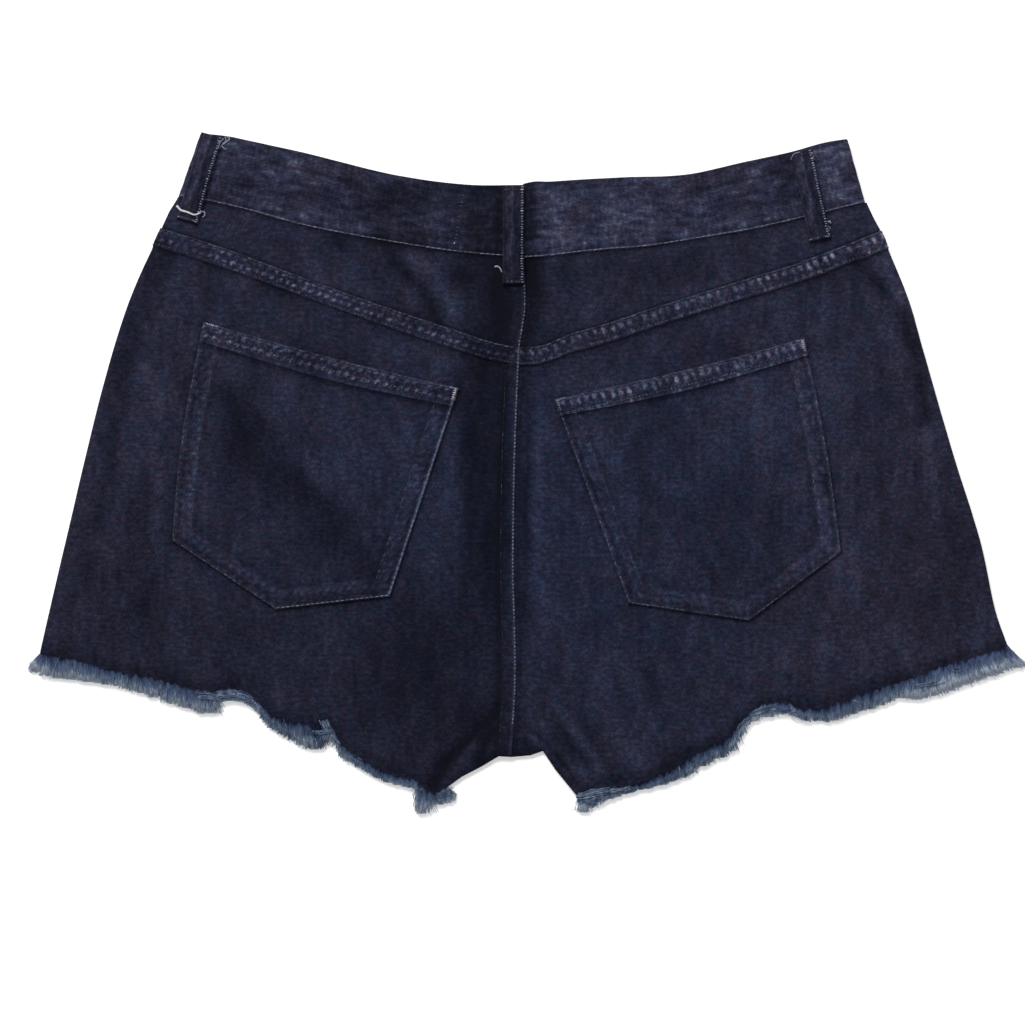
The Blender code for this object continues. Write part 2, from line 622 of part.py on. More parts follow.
def front_belt_loop(name, material):
    """A flat strap under the front of the waistband, on the surface."""
    loop = FRONT_LOOPS[name]
    top = np.array(loop["top"], float)
    foot = np.array(loop["foot"], float)
    down = (foot - top) / np.linalg.norm(foot - top)
    across = np.array([-down[1], down[0]])
    rows = np.linspace(0, 1, 4)[:, None, None]
    columns = np.array([-0.5, -0.4, 0.4, 0.5])[None, :, None] * LOOP_WIDTH
    plan = top + (foot - top) * rows + across * columns
    under = lay_on(plan, lambda x, y: 0 * x)
    over = under + np.array([0, 0, FRONT_LOOP_WALL])
    over[:, [0, -1], 2] -= FRONT_LOOP_WALL * (1 - LOOP_EDGE_SHARE)
    return wall(name, under, over, material)


def waist_button(material):
    """The fly button under the front waistband: a flat cap and a short shank."""
    profile = [(BUTTON["radius"] - 0.4, 0), (BUTTON["radius"], 0.35),
               (BUTTON["radius"] - 0.5, BUTTON["cap"]), (BUTTON["shank"], BUTTON["cap"]),
               (BUTTON["shank"], BUTTON["height"])]
    sides = 18
    points = []
    for radius, z in profile:
        for turn in range(sides):
            angle = 2 * math.pi * turn / sides
            points.append((BUTTON["x"] + radius * math.cos(angle),
                           BUTTON["y"] + radius * math.sin(angle), z))
    faces = [list(range(sides))[::-1], [(len(profile) - 1) * sides + k for k in range(sides)]]
    for ring in range(len(profile) - 1):
        for turn in range(sides):
            after = (turn + 1) % sides
            faces.append([ring * sides + turn, ring * sides + after,
                          (ring + 1) * sides + after, (ring + 1) * sides + turn])
    return add_object("waist_button", np.array(points) * MM, faces, material)


# ---------------------------------------------------------------- sewn pieces of the front

def front_panel(side, material):
    """One front leg, flat on the surface but for the lift over the button and a loop."""
    inseam = FRONT_INSEAM[side]
    if side == "left":
        knots = np.array(FRONT_HEM[side] + inseam[::-1][1:], float)
    else:
        knots = np.array(inseam[:-1] + FRONT_HEM[side], float)
    start = knots[0, 0]
    span = knots[-1, 0] - start
    columns = merged((knots[:, 0] - start) / span, np.linspace(0, 1, 15), 0.045)
    rows = np.concatenate([np.linspace(0, 0.16, 4), np.linspace(0.24, 1, 6)])
    x = start + columns * span
    foot = np.stack([x, np.interp(x, knots[:, 0], knots[:, 1])], axis=1)
    centre = smooth_curve(CENTRE_FRONT, rows)
    edge_knots = [point for point in SIDE[side] if point[1] <= SIDE[side][2][1]]
    if side == "left":
        centre[:, 0] -= GAP / 2
        top = smooth_curve(FRONT_FOOT[side], columns)
        left, right = smooth_curve(edge_knots[:-1] + [FRONT_HEM[side][0]], rows), centre
    else:
        centre[:, 0] += GAP / 2
        top = smooth_curve(FRONT_FOOT[side][::-1], columns)
        left, right = centre, smooth_curve(edge_knots[:-1] + [FRONT_HEM[side][-1]], rows)
    top[:, 1] -= GAP
    left[0], right[0] = (left[0][0], top[0][1]), (right[0][0], top[-1][1])
    top[0], top[-1] = left[0], right[0]
    foot[0], foot[-1] = left[-1], right[-1]
    under = lay_on(patch(top, foot, left, right, columns, rows), front_height)
    over = under + np.array([0, 0, CLOTH])
    return wall("front_panel_" + side, under, over, material)


def fly_shield(material):
    """The strip behind the fly, inside the fronts."""
    columns = np.linspace(FLY["inner"], FLY["outer"], 4)
    rows = np.linspace(FLY["top"], FLY["foot"], 9)
    plan = np.stack(np.meshgrid(columns, rows), axis=2)
    under = lay_on(plan, front_height)
    under[..., 2] += CLOTH + GAP
    over = under + np.array([0, 0, CLOTH])
    return wall("fly_shield", under, over, material)


# ---------------------------------------------------------------- frayed hems

def lean_of(side, fraction):
    """Sideways lean of the warp threads, growing to the outer end of a hem."""
    if side == "left":
        return -0.10 - 0.9 * (1 - fraction) ** 12 + 0.7 * fraction ** 40
    return 0.10 + 1.4 * fraction ** 14


def lock_spots(table, pitch):
    """Places along a hem: its own points, and the two sides of each lock between them."""
    spots = [table[0]]
    pulled = []
    for here, after in zip(table[:-1], table[1:]):
        count = max(int(round(np.hypot(*(after - here)[:2]) / pitch)), 1)
        for lock in range(count):
            for edge in (-LOCK_SHARE / 2, LOCK_SHARE / 2):
                spots.append(here + (after - here) * (lock + 0.5 + edge) / count)
            pulled += [False, True]
        spots.append(after)
        pulled.append(False)
    return np.array(spots), pulled


def frayed_hem(layer, side, material):
    """A narrow strip under a cut hem with tapered locks that hang from its outer edge."""
    rng = np.random.default_rng(7 if layer == "back" else 11)
    if layer == "back":
        line, on_hem = foot_line(side)
        table = line[on_hem]
        table = table[merged_points(table[:, 0], 2.0)]
    else:
        plain = np.array(FRONT_HEM[side], float)
        table = np.column_stack([plain, np.full(len(plain), LOCK_FRONT_LENGTH)])
    spots, pulled = lock_spots(table, LOCK_PITCH[layer])
    base = np.full(len(spots), STRIP_LIFT)
    if layer == "back":
        base += hem_height(spots[:, 0], spots[:, 1], 0.0)
    inner = spots[:, :2] - (0, STRIP_DROP)
    outer = inner - (0, STRIP_WIDTH)
    points = []
    faces = []
    for near, far, low in zip(inner, outer, base):
        points += [(*near, low), (*far, low), (*far, low + STRIP_WALL), (*near, low + STRIP_WALL)]
    for k, is_lock in enumerate(pulled):
        here = 4 * k
        after = here + 4
        faces.append([here, after, after + 1, here + 1])
        faces.append([here + 2, after + 2, after + 3, here + 3])
        faces.append([here + 3, after + 3, after, here])
        outer_face = [here + 1, after + 1, after + 2, here + 2]
        if is_lock:
            along = (spots[k, 0] - table[0, 0]) / (table[-1, 0] - table[0, 0])
            lean = lean_of(side, along) + rng.uniform(-0.05, 0.05)
            hang = spots[k, 2] * rng.uniform(0.72, 1.0)
            reach = max(hang - STRIP_DROP - STRIP_WIDTH, LOCK_LEAST)
            add_lock(points, faces, outer_face, lean, reach, layer)
        else:
            faces.append(outer_face)
    faces.append([0, 1, 2, 3])
    last = 4 * len(pulled)
    faces.append([last + 3, last + 2, last + 1, last])
    return add_object("fray_" + layer + "_" + side, np.array(points) * MM, faces, material)


def merged_points(places, least):
    """Rows of a table whose places keep their distance, the last one always kept."""
    kept = [0]
    for row in range(1, len(places) - 1):
        if places[row] - places[kept[-1]] >= least and places[-1] - places[row] >= least:
            kept.append(row)
    return kept + [len(places) - 1]


def add_lock(points, faces, root, lean, reach, layer):
    """One tapered lock: a root quad, a narrower ring half-way and a small tip."""
    corner = np.array([points[index] for index in root])
    middle = corner.mean(axis=0)
    tip_height = max(0.35, middle[2] - 0.12 * reach) if layer == "back" else 0.45
    ring = root
    for stage in LOCK_STAGES:
        shift = np.array([lean * reach * stage["along"], -reach * stage["along"],
                          (tip_height - middle[2]) * stage["droop"]])
        start = len(points)
        points += [tuple(middle + shift + offset) for offset in (corner - middle) * stage["width"]]
        after = [start, start + 1, start + 2, start + 3]
        for k in range(4):
            m = (k + 1) % 4
            faces.append([ring[k], ring[m], after[m], after[k]])
        ring = after
    faces.append(ring)


def build():
    """Make every piece of the shorts."""
    clear_scene()
    denim = finish("denim", INDIGO, 0.9)
    band_denim = finish("denim_waistband", INDIGO_BAND, 0.9)
    fray = finish("frayed_cotton", FRAY_BLUE, 0.95)
    brass = finish("brass", BRASS, 0.4, 1.0)
    for side in ("left", "right"):
        front_panel(side, denim)
        back_panel(side, denim)
        back_yoke(side, denim)
        back_pocket(side, denim)
        waistband(side, band_denim)
        frayed_hem("back", side, fray)
        frayed_hem("front", side, fray)
    for name in LOOPS:
        belt_loop(name, band_denim)
    for name in FRONT_LOOPS:
        front_belt_loop(name, band_denim)
    fly_shield(denim)
    waist_button(brass)


build()
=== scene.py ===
"""Cut-off denim shorts lying face down: the finished cloth, seams and frayed hems.

The cloth, the hanging threads and the button stand for solids of the part, close to their
outlines and heights, with a finer surface. Some folds lie elsewhere than on the solids, and
the narrow creases, the stitches and the loose ends of thread are only made here. Tables and
mesh code are in millimetres, and the meshes are made in metres. X runs to the wearer's right,
+Y to the waist and +Z up, out of the back of the shorts.
"""

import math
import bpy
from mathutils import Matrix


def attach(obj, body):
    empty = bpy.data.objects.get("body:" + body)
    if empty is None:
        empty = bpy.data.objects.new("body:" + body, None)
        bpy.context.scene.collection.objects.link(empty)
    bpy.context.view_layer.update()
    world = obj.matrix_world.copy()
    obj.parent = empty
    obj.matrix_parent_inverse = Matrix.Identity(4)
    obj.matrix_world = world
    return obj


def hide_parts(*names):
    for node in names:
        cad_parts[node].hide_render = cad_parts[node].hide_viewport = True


bl_info = {
    "name": "Cut-off denim shorts",
    "version": (1, 0, 0),
    "blender": (4, 5, 0),
    "location": "3D View > Sidebar > Shorts",
    "description": "Builds the cloth, seams, stitches, button and frayed hems of denim shorts",
    "category": "Object",
}

import bpy
import numpy as np
from mathutils import Vector
from mathutils.bvhtree import BVHTree

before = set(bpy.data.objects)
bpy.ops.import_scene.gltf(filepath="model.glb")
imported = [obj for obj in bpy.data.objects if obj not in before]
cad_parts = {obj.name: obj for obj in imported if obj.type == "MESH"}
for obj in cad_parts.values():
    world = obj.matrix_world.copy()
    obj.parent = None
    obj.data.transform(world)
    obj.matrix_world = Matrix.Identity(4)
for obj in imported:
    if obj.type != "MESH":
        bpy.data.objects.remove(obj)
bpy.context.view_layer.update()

MM = 0.001
SIDES = ("left", "right")
CLOTH = 1.2
BAND_WALL = 1.8
FRONT_LOOP_WALL = 1.3
FELL_RISE = 0.9
GROOVE = 0.22
WRINKLE = 0.22
GAP = 0.3
SEAM_GAP = 0.03
LOOP_WIDTH = 12.8
LOOP_SEAT = 0.45
LOOP_ARCH = 0.8
LOOP_ARCH_SHARE = 0.8
LOOP_SLOPE = 0.06
BAND_LIP = 0.8
POCKET_SEAT = 0.45
LAY_LIFT = 2.6
SIDE_REACH = 8.0
INSEAM_REACH = 10.0
HEM_SHARE = 0.4
HEM_REACH = 45.0
BAND_INSET = {"left": 1.4, "right": 2.5}
LAP = 16.0
UNDERLAP = 22.0
UNDERLAP_RAMP = 16.0
LAP_SLOPE = 0.07
BAND_LOW = 120.0
BAND_DEPTH = 40.0
BAND_RUN = 190.0
BAND_SPOTS = 160
POCKET_MEAN_WIDTH = 146.0
FRONT_LENGTH = 280.0
FELL_DEPTH = 11.2
CENTRE_FELL = 8.7
PANEL_LENGTH = 258.0
NOTCH_FADE = 7.0
# Distances from a side and from the centre seam that always get a column of points
SIDE_COLUMNS = (1.2, 3.5, 8.0)
FELL_COLUMNS = (0.4, 8.6, 9.2)

BUTTON = {"x": -2.0, "y": 135.5, "radius": 8.5, "cap": 1.0, "shank": 3.2, "height": 1.6}
# Rings cut into the button's face, from its rim inwards: width, rise
BUTTON_RINGS = ((1.2, 0.0), (0.5, -0.28), (2.2, 0.0), (0.5, 0.16))
BUTTON_CLEAR = 10.0
BUTTON_FADE = 34.0
CLOSURE_RISE = 2.1
CLOSURE_CLEAR = 26.0
CLOSURE_FADE = 75.0
FRONT_LOOP_CLEAR = 11.0
FRONT_LOOP_FADE = 27.0

# Outlines (x, y), mm. Left and right are the wearer's, as seen from the back.
SIDE = {
    "left": [(-188, 197), (-195, 178.5), (-201, 160.5), (-206.5, 151.5), (-210.8, 142), (-229.3, 100.5),
             (-243.8, 54), (-255.3, 8), (-266.2, -38.5), (-277.2, -85), (-282, -105.5)],
    "right": [(186, 194), (191.5, 175), (196.5, 157), (204.6, 140.5), (220.8, 100.5), (234.2, 54),
              (247.6, 8), (262.2, -38.5), (273, -85), (279, -101)],
}
CENTRE_BACK = [(-2, 167), (-1.6, 124.5), (-0.2, 96), (-3.6, 73.2), (-6, 13.5), (-7, -50),
               (-6, -125.5), (-8.5, -164.5)]
# The point of it where the yoke seam meets it
YOKE_ROW = 3
WAIST_TOP = {
    "left": [(-2, 167), (-30, 167), (-73.5, 172.5), (-131.5, 186.5), (-160, 192.7), (-172, 195.3),
             (-188, 197)],
    "right": [(-2, 167), (10.5, 168.5), (54, 171.5), (95, 173.5), (124, 180), (153, 186.3), (174, 192),
              (186, 194)],
}
BAND_FOOT = {
    "left": [(-2, 124.5), (-44.5, 128.5), (-73.5, 133), (-102.5, 138), (-131.5, 144), (-160.5, 152),
             (-186.5, 158), (-201, 160.5)],
    "right": [(-2, 124.5), (10.5, 125.5), (42.5, 129), (71.5, 131.5), (100.5, 136), (129.5, 141),
              (158.5, 147.5), (196.5, 157)],
}
YOKE_FOOT = {
    "left": [(-3.6, 73.2), (-15.5, 75.5), (-44.5, 84.5), (-73.5, 94), (-102.5, 104), (-131.5, 114.5),
             (-160.5, 125.5), (-189.5, 135.5), (-210.8, 142)],
    "right": [(-3.6, 73.2), (5, 73.7), (28, 82), (42.5, 86), (71.5, 95.5), (100.5, 104.5),
              (129.5, 113.5), (158.5, 122.5), (182, 131.5), (204.6, 140.5)],
}
INSEAM = {
    "left": [(-8.5, -164.5), (-16, -164), (-26, -170), (-37.5, -176), (-46.5, -182.5)],
    "right": [(-8.5, -164.5), (2.5, -163.5), (9.5, -161), (16.5, -171.5), (29.5, -187.5)],
}
# Cut hem of the backs: x, y and how far the fray hangs below it
HEM = {
    "left": [(-282, -105.5, 8), (-270.5, -106.5, 12), (-256, -110, 10.5), (-241.5, -114.5, 7.5),
             (-227, -117, 8.5), (-212.5, -120, 10.5), (-198, -124.5, 11.5), (-190, -126.2, 12.5),
             (-184, -126.4, 13.2), (-181.8, -126.2, 12.6), (-180, -125.6, 6.4), (-170, -124.5, 7.2),
             (-162.5, -126.5, 7), (-155.5, -132.5, 6.5), (-149, -139.5, 6.5), (-140, -142.5, 9.5),
             (-131.5, -144.5, 12), (-123, -147.5, 13), (-120, -144, 11.5), (-115.5, -142.5, 10.5),
             (-111.5, -150, 8), (-106.5, -158.5, 7), (-97.5, -165, 6), (-86, -171, 6), (-74.5, -176, 5),
             (-63.5, -178, 4.5), (-61.5, -180.5, 13), (-59.5, -183, 13.5), (-56.5, -185.2, 11),
             (-54.3, -186, 5.2), (-52, -185.2, 7.8), (-49, -183.8, 6.5), (-46.5, -182.5, 3.8)],
    "right": [(29.5, -187.5, 7.5), (33, -185.6, 11), (37, -183.5, 12.5), (46, -182.5, 6.5),
              (56.5, -182, 4), (67, -179, 4), (77.5, -174.5, 6), (89, -168, 8.5), (100.5, -161, 8.5),
              (111, -155, 9.5), (120, -150.5, 9.5), (129.5, -139, 6.5), (135.5, -134.5, 8),
              (144, -133, 7.5), (153, -133.5, 6), (158.5, -137, 5), (170, -136.5, 7.5),
              (180.5, -133, 8.5), (190.5, -128, 10.5), (202, -125, 9.5), (215, -122, 8.5),
              (228, -117, 13.5), (242.5, -112, 14), (257, -107.5, 12.5), (270, -103.5, 11.5),
              (279, -101, 10)],
}
# How the hanging threads vary: the shares that are cut short or stray, and their spreads
FRAY_SHORT = 0.12
FRAY_STRAY = 0.05
FRAY_LEAN_SPREAD = (0.28, 0.15)
FRAY_CURL = 0.38
FRAY_STATIONS = 4
FRAY_LEAST_HEIGHT = 0.27
FRONT_PITCH = 5.0
FRAY_SEEDS = {"back": {"left": 101, "right": 103}, "front": {"left": 111, "right": 113}}
CORNER_THREADS = 260
# Reach and lean of the threads that fan out past a side seam: at its inner and outer thread
CORNER_FAN = {"left": {"reach": (10.4, 4.8), "lean": (-0.3, -1.15)},
              "right": {"lean": (0.35, 1.15)}}
# Sideways lean of the hanging threads: x, lean
LEAN = {
    "left": [(-282, -0.6), (-278, -0.35), (-268, -0.1), (-250, -0.05), (-205, -0.05), (-192, 0.05),
             (-187, 0.1), (-181.6, 0.06), (-179.6, -0.06), (-172, -0.2), (-160, 0.2), (-148, -0.1),
             (-131, -0.05), (-123, 0.3), (-116, 0.1), (-108, 0.25), (-88, 0.1), (-66, 0.0), (-62, -0.1),
             (-57, -0.15), (-54.3, 0.1), (-52, 0.2), (-49, 0.8), (-46.5, 1.5)],
    "right": [(29.5, 0.3), (33, 0.0), (37, -0.35), (46, 0.1), (66, 0.3), (110, 0.15), (120, 0.0),
              (130, -0.4), (142, -0.25), (153, 0.35), (160, 0.25), (200, 0.1), (228, 0.05), (250, 0.25),
              (268, 0.6), (279, 1.0)],
}
# Paler and darker stretches of the fray: x, reach, amount
FRAY_TONES = [
    (-262, 22, 0.16), (-205, 22, 0.04), (-172, 11, 0.20), (-146, 10, -0.20), (-121.8, 2.6, -0.45),
    (-116, 3, 0.14), (-104, 3, 0.16), (-88, 16, -0.22), (-59, 3, 0.16), (-52, 3, -0.12), (-47, 3, 0.14),
    (34, 7, 0.20), (58, 10, -0.30), (84, 18, -0.22), (112, 9, -0.22), (133, 9, 0.24), (152, 5, 0.12),
    (168, 9, -0.08), (188, 12, -0.12), (200, 3, -0.10), (240, 16, 0.42), (231, 2, -0.20),
    (272, 12, 0.30),
]
# Corners, the bow of the outer edge, and the fold and lower row of stitches of the hem
POCKET = {
    "left": {"outer_top": (-187, 88), "inner_top": (-39, 49.5), "inner_foot": (-79, -71.5),
             "point": (-145.5, -79), "outer_foot": (-205.5, -39), "bow": -3.0,
             "hem": 10.8, "hem_row": 7.6},
    "right": {"outer_top": (161, 78.5), "inner_top": (16, 43), "inner_foot": (59, -75.5),
              "point": (129, -85.5), "outer_foot": (182.5, -45.5), "bow": 2.0,
              "hem": 9.8, "hem_row": 8.9},
}
POCKET_TOP_SAG = 1.5
POCKET_DEPTH = 122.0
# Puckers along the hem and the yoke seam: their lean, pitch, stagger and seed
POCKET_ROPE = {"left": {"lean": -0.4, "pitch": 0.9, "stagger": 0.7, "seed": 41},
               "right": {"lean": 0.4, "pitch": 1.05, "stagger": 0.4, "seed": 43}}
YOKE_ROPE = {"left": {"lean": -0.12, "pitch": 0.9, "stagger": 0.75, "seed": 21},
             "right": {"lean": 0.42, "pitch": 1.06, "stagger": 0.35, "seed": 23}}
# Bartacks at a pocket's outer and inner upper corners: tone down the edge, tone and run along
# the hem
POCKET_TACKS = {"left": ((0.06, 0.70, 7.0), (0.74, 0.56, 4.0)),
                "right": ((0.50, 0.42, 4.0), (0.34, 0.44, 5.0))}
FRONT_WAIST = {
    "left": [(-188, 197), (-160.5, 186), (-102.5, 169.5), (-50, 160), (-2, 155.5)],
    "right": [(186, 194), (153, 182), (100.5, 167), (48.5, 159), (-2, 155.5)],
}
FRONT_FOOT = {
    "left": [(-201, 160.5), (-160.5, 145.5), (-102.5, 129), (-50, 120), (-2, 115.5)],
    "right": [(196.5, 157), (153, 143.5), (100.5, 128), (48.5, 119), (-2, 115.5)],
}
CENTRE_FRONT = [(-2, 115.5), (-2, 60), (-4, -60), (-7, -158)]
FRONT_INSEAM = {
    "left": [(-7, -158), (-26, -164), (-54, -176)],
    "right": [(-7, -158), (11, -160), (38, -178)],
}
FRONT_HEM = {
    "left": [(-279, -102.5), (-241.5, -109.5), (-198, -119), (-170, -124.5), (-153.5, -131),
             (-131.5, -139), (-108, -153.5), (-85, -165), (-54, -176)],
    "right": [(38, -178), (66, -174), (100.5, -155.5), (126.5, -139), (144, -132.5), (164.5, -130),
              (199, -121.5), (237, -109.5), (276.5, -98)],
}
FLY = {"inner": -20.0, "outer": 16.0, "top": 100.0, "foot": -30.0}
# The J of stitches that holds the fly facing, on the wearer's left front
FLY_CURVE = [(-38, 112), (-38, 60), (-38, -2), (-35, -18), (-27, -30), (-14, -38), (-4.6, -42)]
FLY_ROWS_APART = 6.0
LOOPS = {
    "belt_loop_back": {"top": (-7.6, 166.2), "foot": (-7.6, 109.8), "side": "left",
                       "over_fell": True},
    "belt_loop_left": {"top": (-182.2, 196), "foot": (-196.4, 146.3), "side": "left",
                       "over_fell": False},
    "belt_loop_right": {"top": (159, 186.5), "foot": (170, 135.5), "side": "right",
                        "over_fell": False},
}
LOOP_PLACES = (0.0, 0.06, 0.2, 0.4, 0.58, 0.70, 0.76, 0.84, 0.94, 1.0)
LOOP_DIP = 0.58
FRONT_LOOPS = {
    "belt_loop_front_left": {"top": (-98, 167), "foot": (-103, 118)},
    "belt_loop_front_right": {"top": (98, 165.5), "foot": (103, 116.5)},
}

# Broad folds of the back layer: from (x0, y0) to (x1, y1), rise above the lay, half width
FOLDS = [
    (-117, 136, -90, 122, -1.0, 9), (-70, 121, -44, 86, -0.9, 8), (-28, 118, -22, 84, -0.8, 9),
    (-27, 74, -23, -96, -1.3, 11), (-58, 40, -52, -90, 0.7, 14), (6, 118, 6, 84, -0.9, 8),
    (9, 62, 13, -80, -0.7, 11), (34, 10, 36, -110, 0.6, 15), (-168, 60, -100, -60, -0.9, 22),
    (-120, 60, -88, 0, 0.7, 20), (96, 50, 120, -50, 0.6, 26), (199, 122, 224, 74, -1.1, 8),
    (-16, -134, -50, -174, -1.3, 7), (-30, -126, -66, -164, 0.6, 10), (16, -160, 30, -182, -0.6, 7),
    (26, -134, 44, -166, -0.6, 9), (-230, -20, -214, -96, -0.8, 18), (196, -20, 214, -96, 0.7, 20),
    (150, -104, 100, -124, -0.8, 14), (-150, -108, -100, -124, 0.7, 14),
]
# Narrow creases on them: rise, half width, then the points that they run through
CREASES = [
    (-0.7, 3.6, [(-111, 135), (-100, 128), (-88, 121)]),
    (-1.1, 4.2, [(-77, 123), (-66, 112), (-56, 99), (-50, 86)]),
    (0.8, 4.6, [(-66, 126), (-55, 114), (-46, 101), (-41, 91)]),
    (-0.6, 4.4, [(-26, 69), (-24, 30), (-22, -20), (-22, -72)]),
    (-0.7, 4.0, [(-19, 118), (-17, 98), (-15, 78)]),
    (-1.1, 3.6, [(4, 122), (6, 108), (6, 92), (3, 76)]),
    (-0.5, 2.6, [(5, 122), (20, 117)]),
    (-0.8, 10.0, [(-161, 43), (-146, 18), (-128, -8), (-104, -38), (-90, -58)]),
    (-0.6, 6.0, [(-174, 48), (-164, 22), (-156, 2)]),
    (0.6, 6.0, [(-150, 40), (-132, 12), (-116, -10)]),
    (-1.1, 3.8, [(190, 123), (206, 108), (217, 90), (226, 66), (233, 30)]),
    (0.6, 4.0, [(198, 130), (212, 112), (223, 94)]),
    (-1.7, 3.6, [(-15, -136), (-27.6, -150.5), (-38.6, -159.8), (-47.5, -169.7), (-54.5, -181)]),
    (1.0, 1.7, [(-16.6, -144), (-23, -147.5), (-28.6, -152.7), (-31.8, -159.6)]),
    (0.5, 4.0, [(-31.8, -158), (-37, -166), (-43, -176), (-47, -183)]),
    (-1.3, 2.6, [(-18.5, -149.5), (-24.8, -157), (-27.5, -166)]),
    (-1.2, 2.6, [(0.4, -153), (1.6, -160)]),
    (0.8, 1.7, [(-4.6, -151), (1.5, -152.5), (9.2, -157), (16.8, -167), (24.4, -176), (29, -185)]),
    (-0.7, 1.8, [(6, -151), (11.7, -158.3), (21.8, -168.5), (29.4, -178.5)]),
    (0.6, 2.2, [(9, -145), (19.3, -159.6), (27.5, -171), (37, -180)]),
    (-0.6, 2.2, [(15, -141), (26, -156), (36, -170)]),
    (0.5, 2.6, [(16.8, -134), (30, -152), (44, -172)]),
    (-0.6, 3.6, [(30, -136), (40, -156), (52, -177)]),
    (0.5, 5.0, [(40, -118), (52, -150), (66, -172)]),
    (-0.5, 5.0, [(70, -116), (82, -140), (92, -160)]),
    (-0.4, 5.0, [(-236, 30), (-246, -20), (-256, -70)]),
    (0.4, 6.0, [(-222, 60), (-232, 10), (-240, -50)]),
    (-0.4, 6.0, [(-96, -96), (-80, -130), (-70, -160)]),
    (0.4, 6.0, [(232, 20), (240, -30), (250, -80)]),
]
# Where the cloth is painted paler or darker: partly washed-out and unworn dye, partly painted shade of
# the folds and painted shadow beside the belt loops and under the waistband: x, y, reach in x and y,
# amount
FADES_AND_SHADES = [
    (52, 158, 46, 16, 0.12), (-152, 178, 44, 18, 0.04), (-22, 148, 15, 30, -0.38),
    (-68, 155, 22, 17, -0.24), (-96, 156, 18, 9, -0.10), (-120, 160, 70, 10, -0.06),
    (1.5, 148, 4, 24, -0.45), (-16.5, 146, 2.5, 26, -0.22), (178, 172, 16, 20, 0.12),
    (150, 168, 5, 20, -0.22), (38, 152, 12, 10, -0.10), (-33, 12, 6, 92, -0.30),
    (-15, 12, 5, 92, -0.34), (-24, 12, 6, 92, -0.16), (-21, 60, 6, 26, -0.16), (-20, -50, 6, 40, -0.12),
    (-16, 110, 6, 10, -0.30), (-36, 114, 8, 6, -0.34), (-34, 99, 7, 8, 0.06), (-13, 94, 6, 16, -0.30),
    (-5, 100, 6, 30, -0.12), (-66, 135, 32, 7, -0.26), (30, 92, 20, 10, 0.08), (19, 135, 8, 9, 0.20),
    (2, 112, 6, 14, -0.16), (-46, 20, 9, 50, 0.06), (-1, -4, 3, 76, -0.26), (7, -4, 5, 76, 0.16),
    (-203, 108, 9, 26, 0.12), (-232, 66, 9, 60, -0.20), (-224, 30, 14, 34, 0.06),
    (-228, -60, 20, 46, -0.12), (-166, 18, 14, 30, -0.13), (-143, -6, 15, 16, -0.18),
    (-120, -33, 18, 20, -0.18), (-124, 68, 20, 10, -0.15), (-73, -4, 11, 40, 0.02),
    (-170, -92, 24, 20, -0.08), (-166, -118, 12, 8, -0.12), (-212, 126, 9, 18, -0.20),
    (182, 112, 14, 9, -0.16), (182, -50, 12, 15, 0.24), (-50, -168, 8, 8, -0.12),
    (-108, 16, 13, 30, 0.12), (-122, 112, 14, 12, 0.14), (-131, -106, 40, 16, -0.03),
    (-60, -112, 30, 44, -0.25), (-30, -146, 16, 16, -0.18), (54, -102, 44, 34, 0.05),
    (70, -150, 22, 16, 0.10), (20, -164, 8, 16, -0.20), (150, 50, 36, 46, 0.12),
    (172, 44, 12, 26, 0.12), (159, 26, 8, 26, -0.10), (122, 72, 20, 9, -0.14),
    (245, -52, 12, 42, -0.14), (222, -33, 10, 30, 0.04), (200, -98, 56, 18, 0.10),
    (214, 112, 8, 44, 0.16), (60, 4, 30, 40, 0.03), (-72, 88, 14, 9, -0.18), (70, 118, 30, 9, -0.12),
    (118, -50, 20, 14, -0.08), (74, 20, 10, 26, -0.08), (-50, 44, 9, 9, -0.16),
    (-144, 112, 12, 8, -0.14), (135, 31, 9, 20, 0.14), (43, 19, 9, 12, 0.16), (205, 135, 8, 8, 0.12),
    (19, -50, 9, 12, 0.10), (-108, -73, 20, 10, -0.09), (-27, -166, 8, 8, -0.12),
    (-97, -143, 12, 8, -0.08), (-166, 171, 11, 13, -0.10), (182, 160, 12, 10, 0.08),
    (-142, 134, 9, 5, -0.10),
]
# Where the blue has yellowed, and where it kept more colour: x, y, reach in x and y, amount
CASTS = [
    (0, -20, 90, 75, -0.75), (60, -110, 60, 40, -0.4), (-250, -60, 40, 60, 0.45),
    (110, 0, 60, 60, -0.35), (-110, 0, 60, 60, -0.25), (-205, 60, 30, 50, 0.2), (235, -30, 45, 80, 0.5),
    (200, -85, 60, 35, 0.4), (225, 80, 25, 40, 0.3), (-40, -155, 26, 18, 0.3), (0, 172, 260, 24, 0.4),
]
# Where the cloth beside a seam is rubbed paler, over 0, or painted darker, under 0, as painted shade in
# the grooves and beside the raised seams, bands and edges: distance, width, amount
SEAM_WEAR_AND_SHADE = {
    "yoke_seam": [(1.0, 0.9, 0.34), (2.6, 0.8, -0.14), (10.3, 0.8, 0.12), (13.0, 1.8, -0.16)],
    "centre_left": [(0.9, 1.1, 0.30), (9.6, 1.4, -0.22)],
    "centre_right": [(2.0, 1.6, -0.20)],
    "pocket_top": [(1.0, 0.9, 0.34), (2.5, 0.8, -0.12)],
    "pocket_fold": [(-0.6, 0.8, 0.18), (1.2, 1.4, -0.20)],
    "pocket_edge": [(1.0, 1.1, 0.10), (3.4, 1.2, -0.17), (12.6, 1.2, -0.08)],
    "band_foot": [(0.6, 0.7, 0.14), (2.3, 1.0, -0.14)],
}
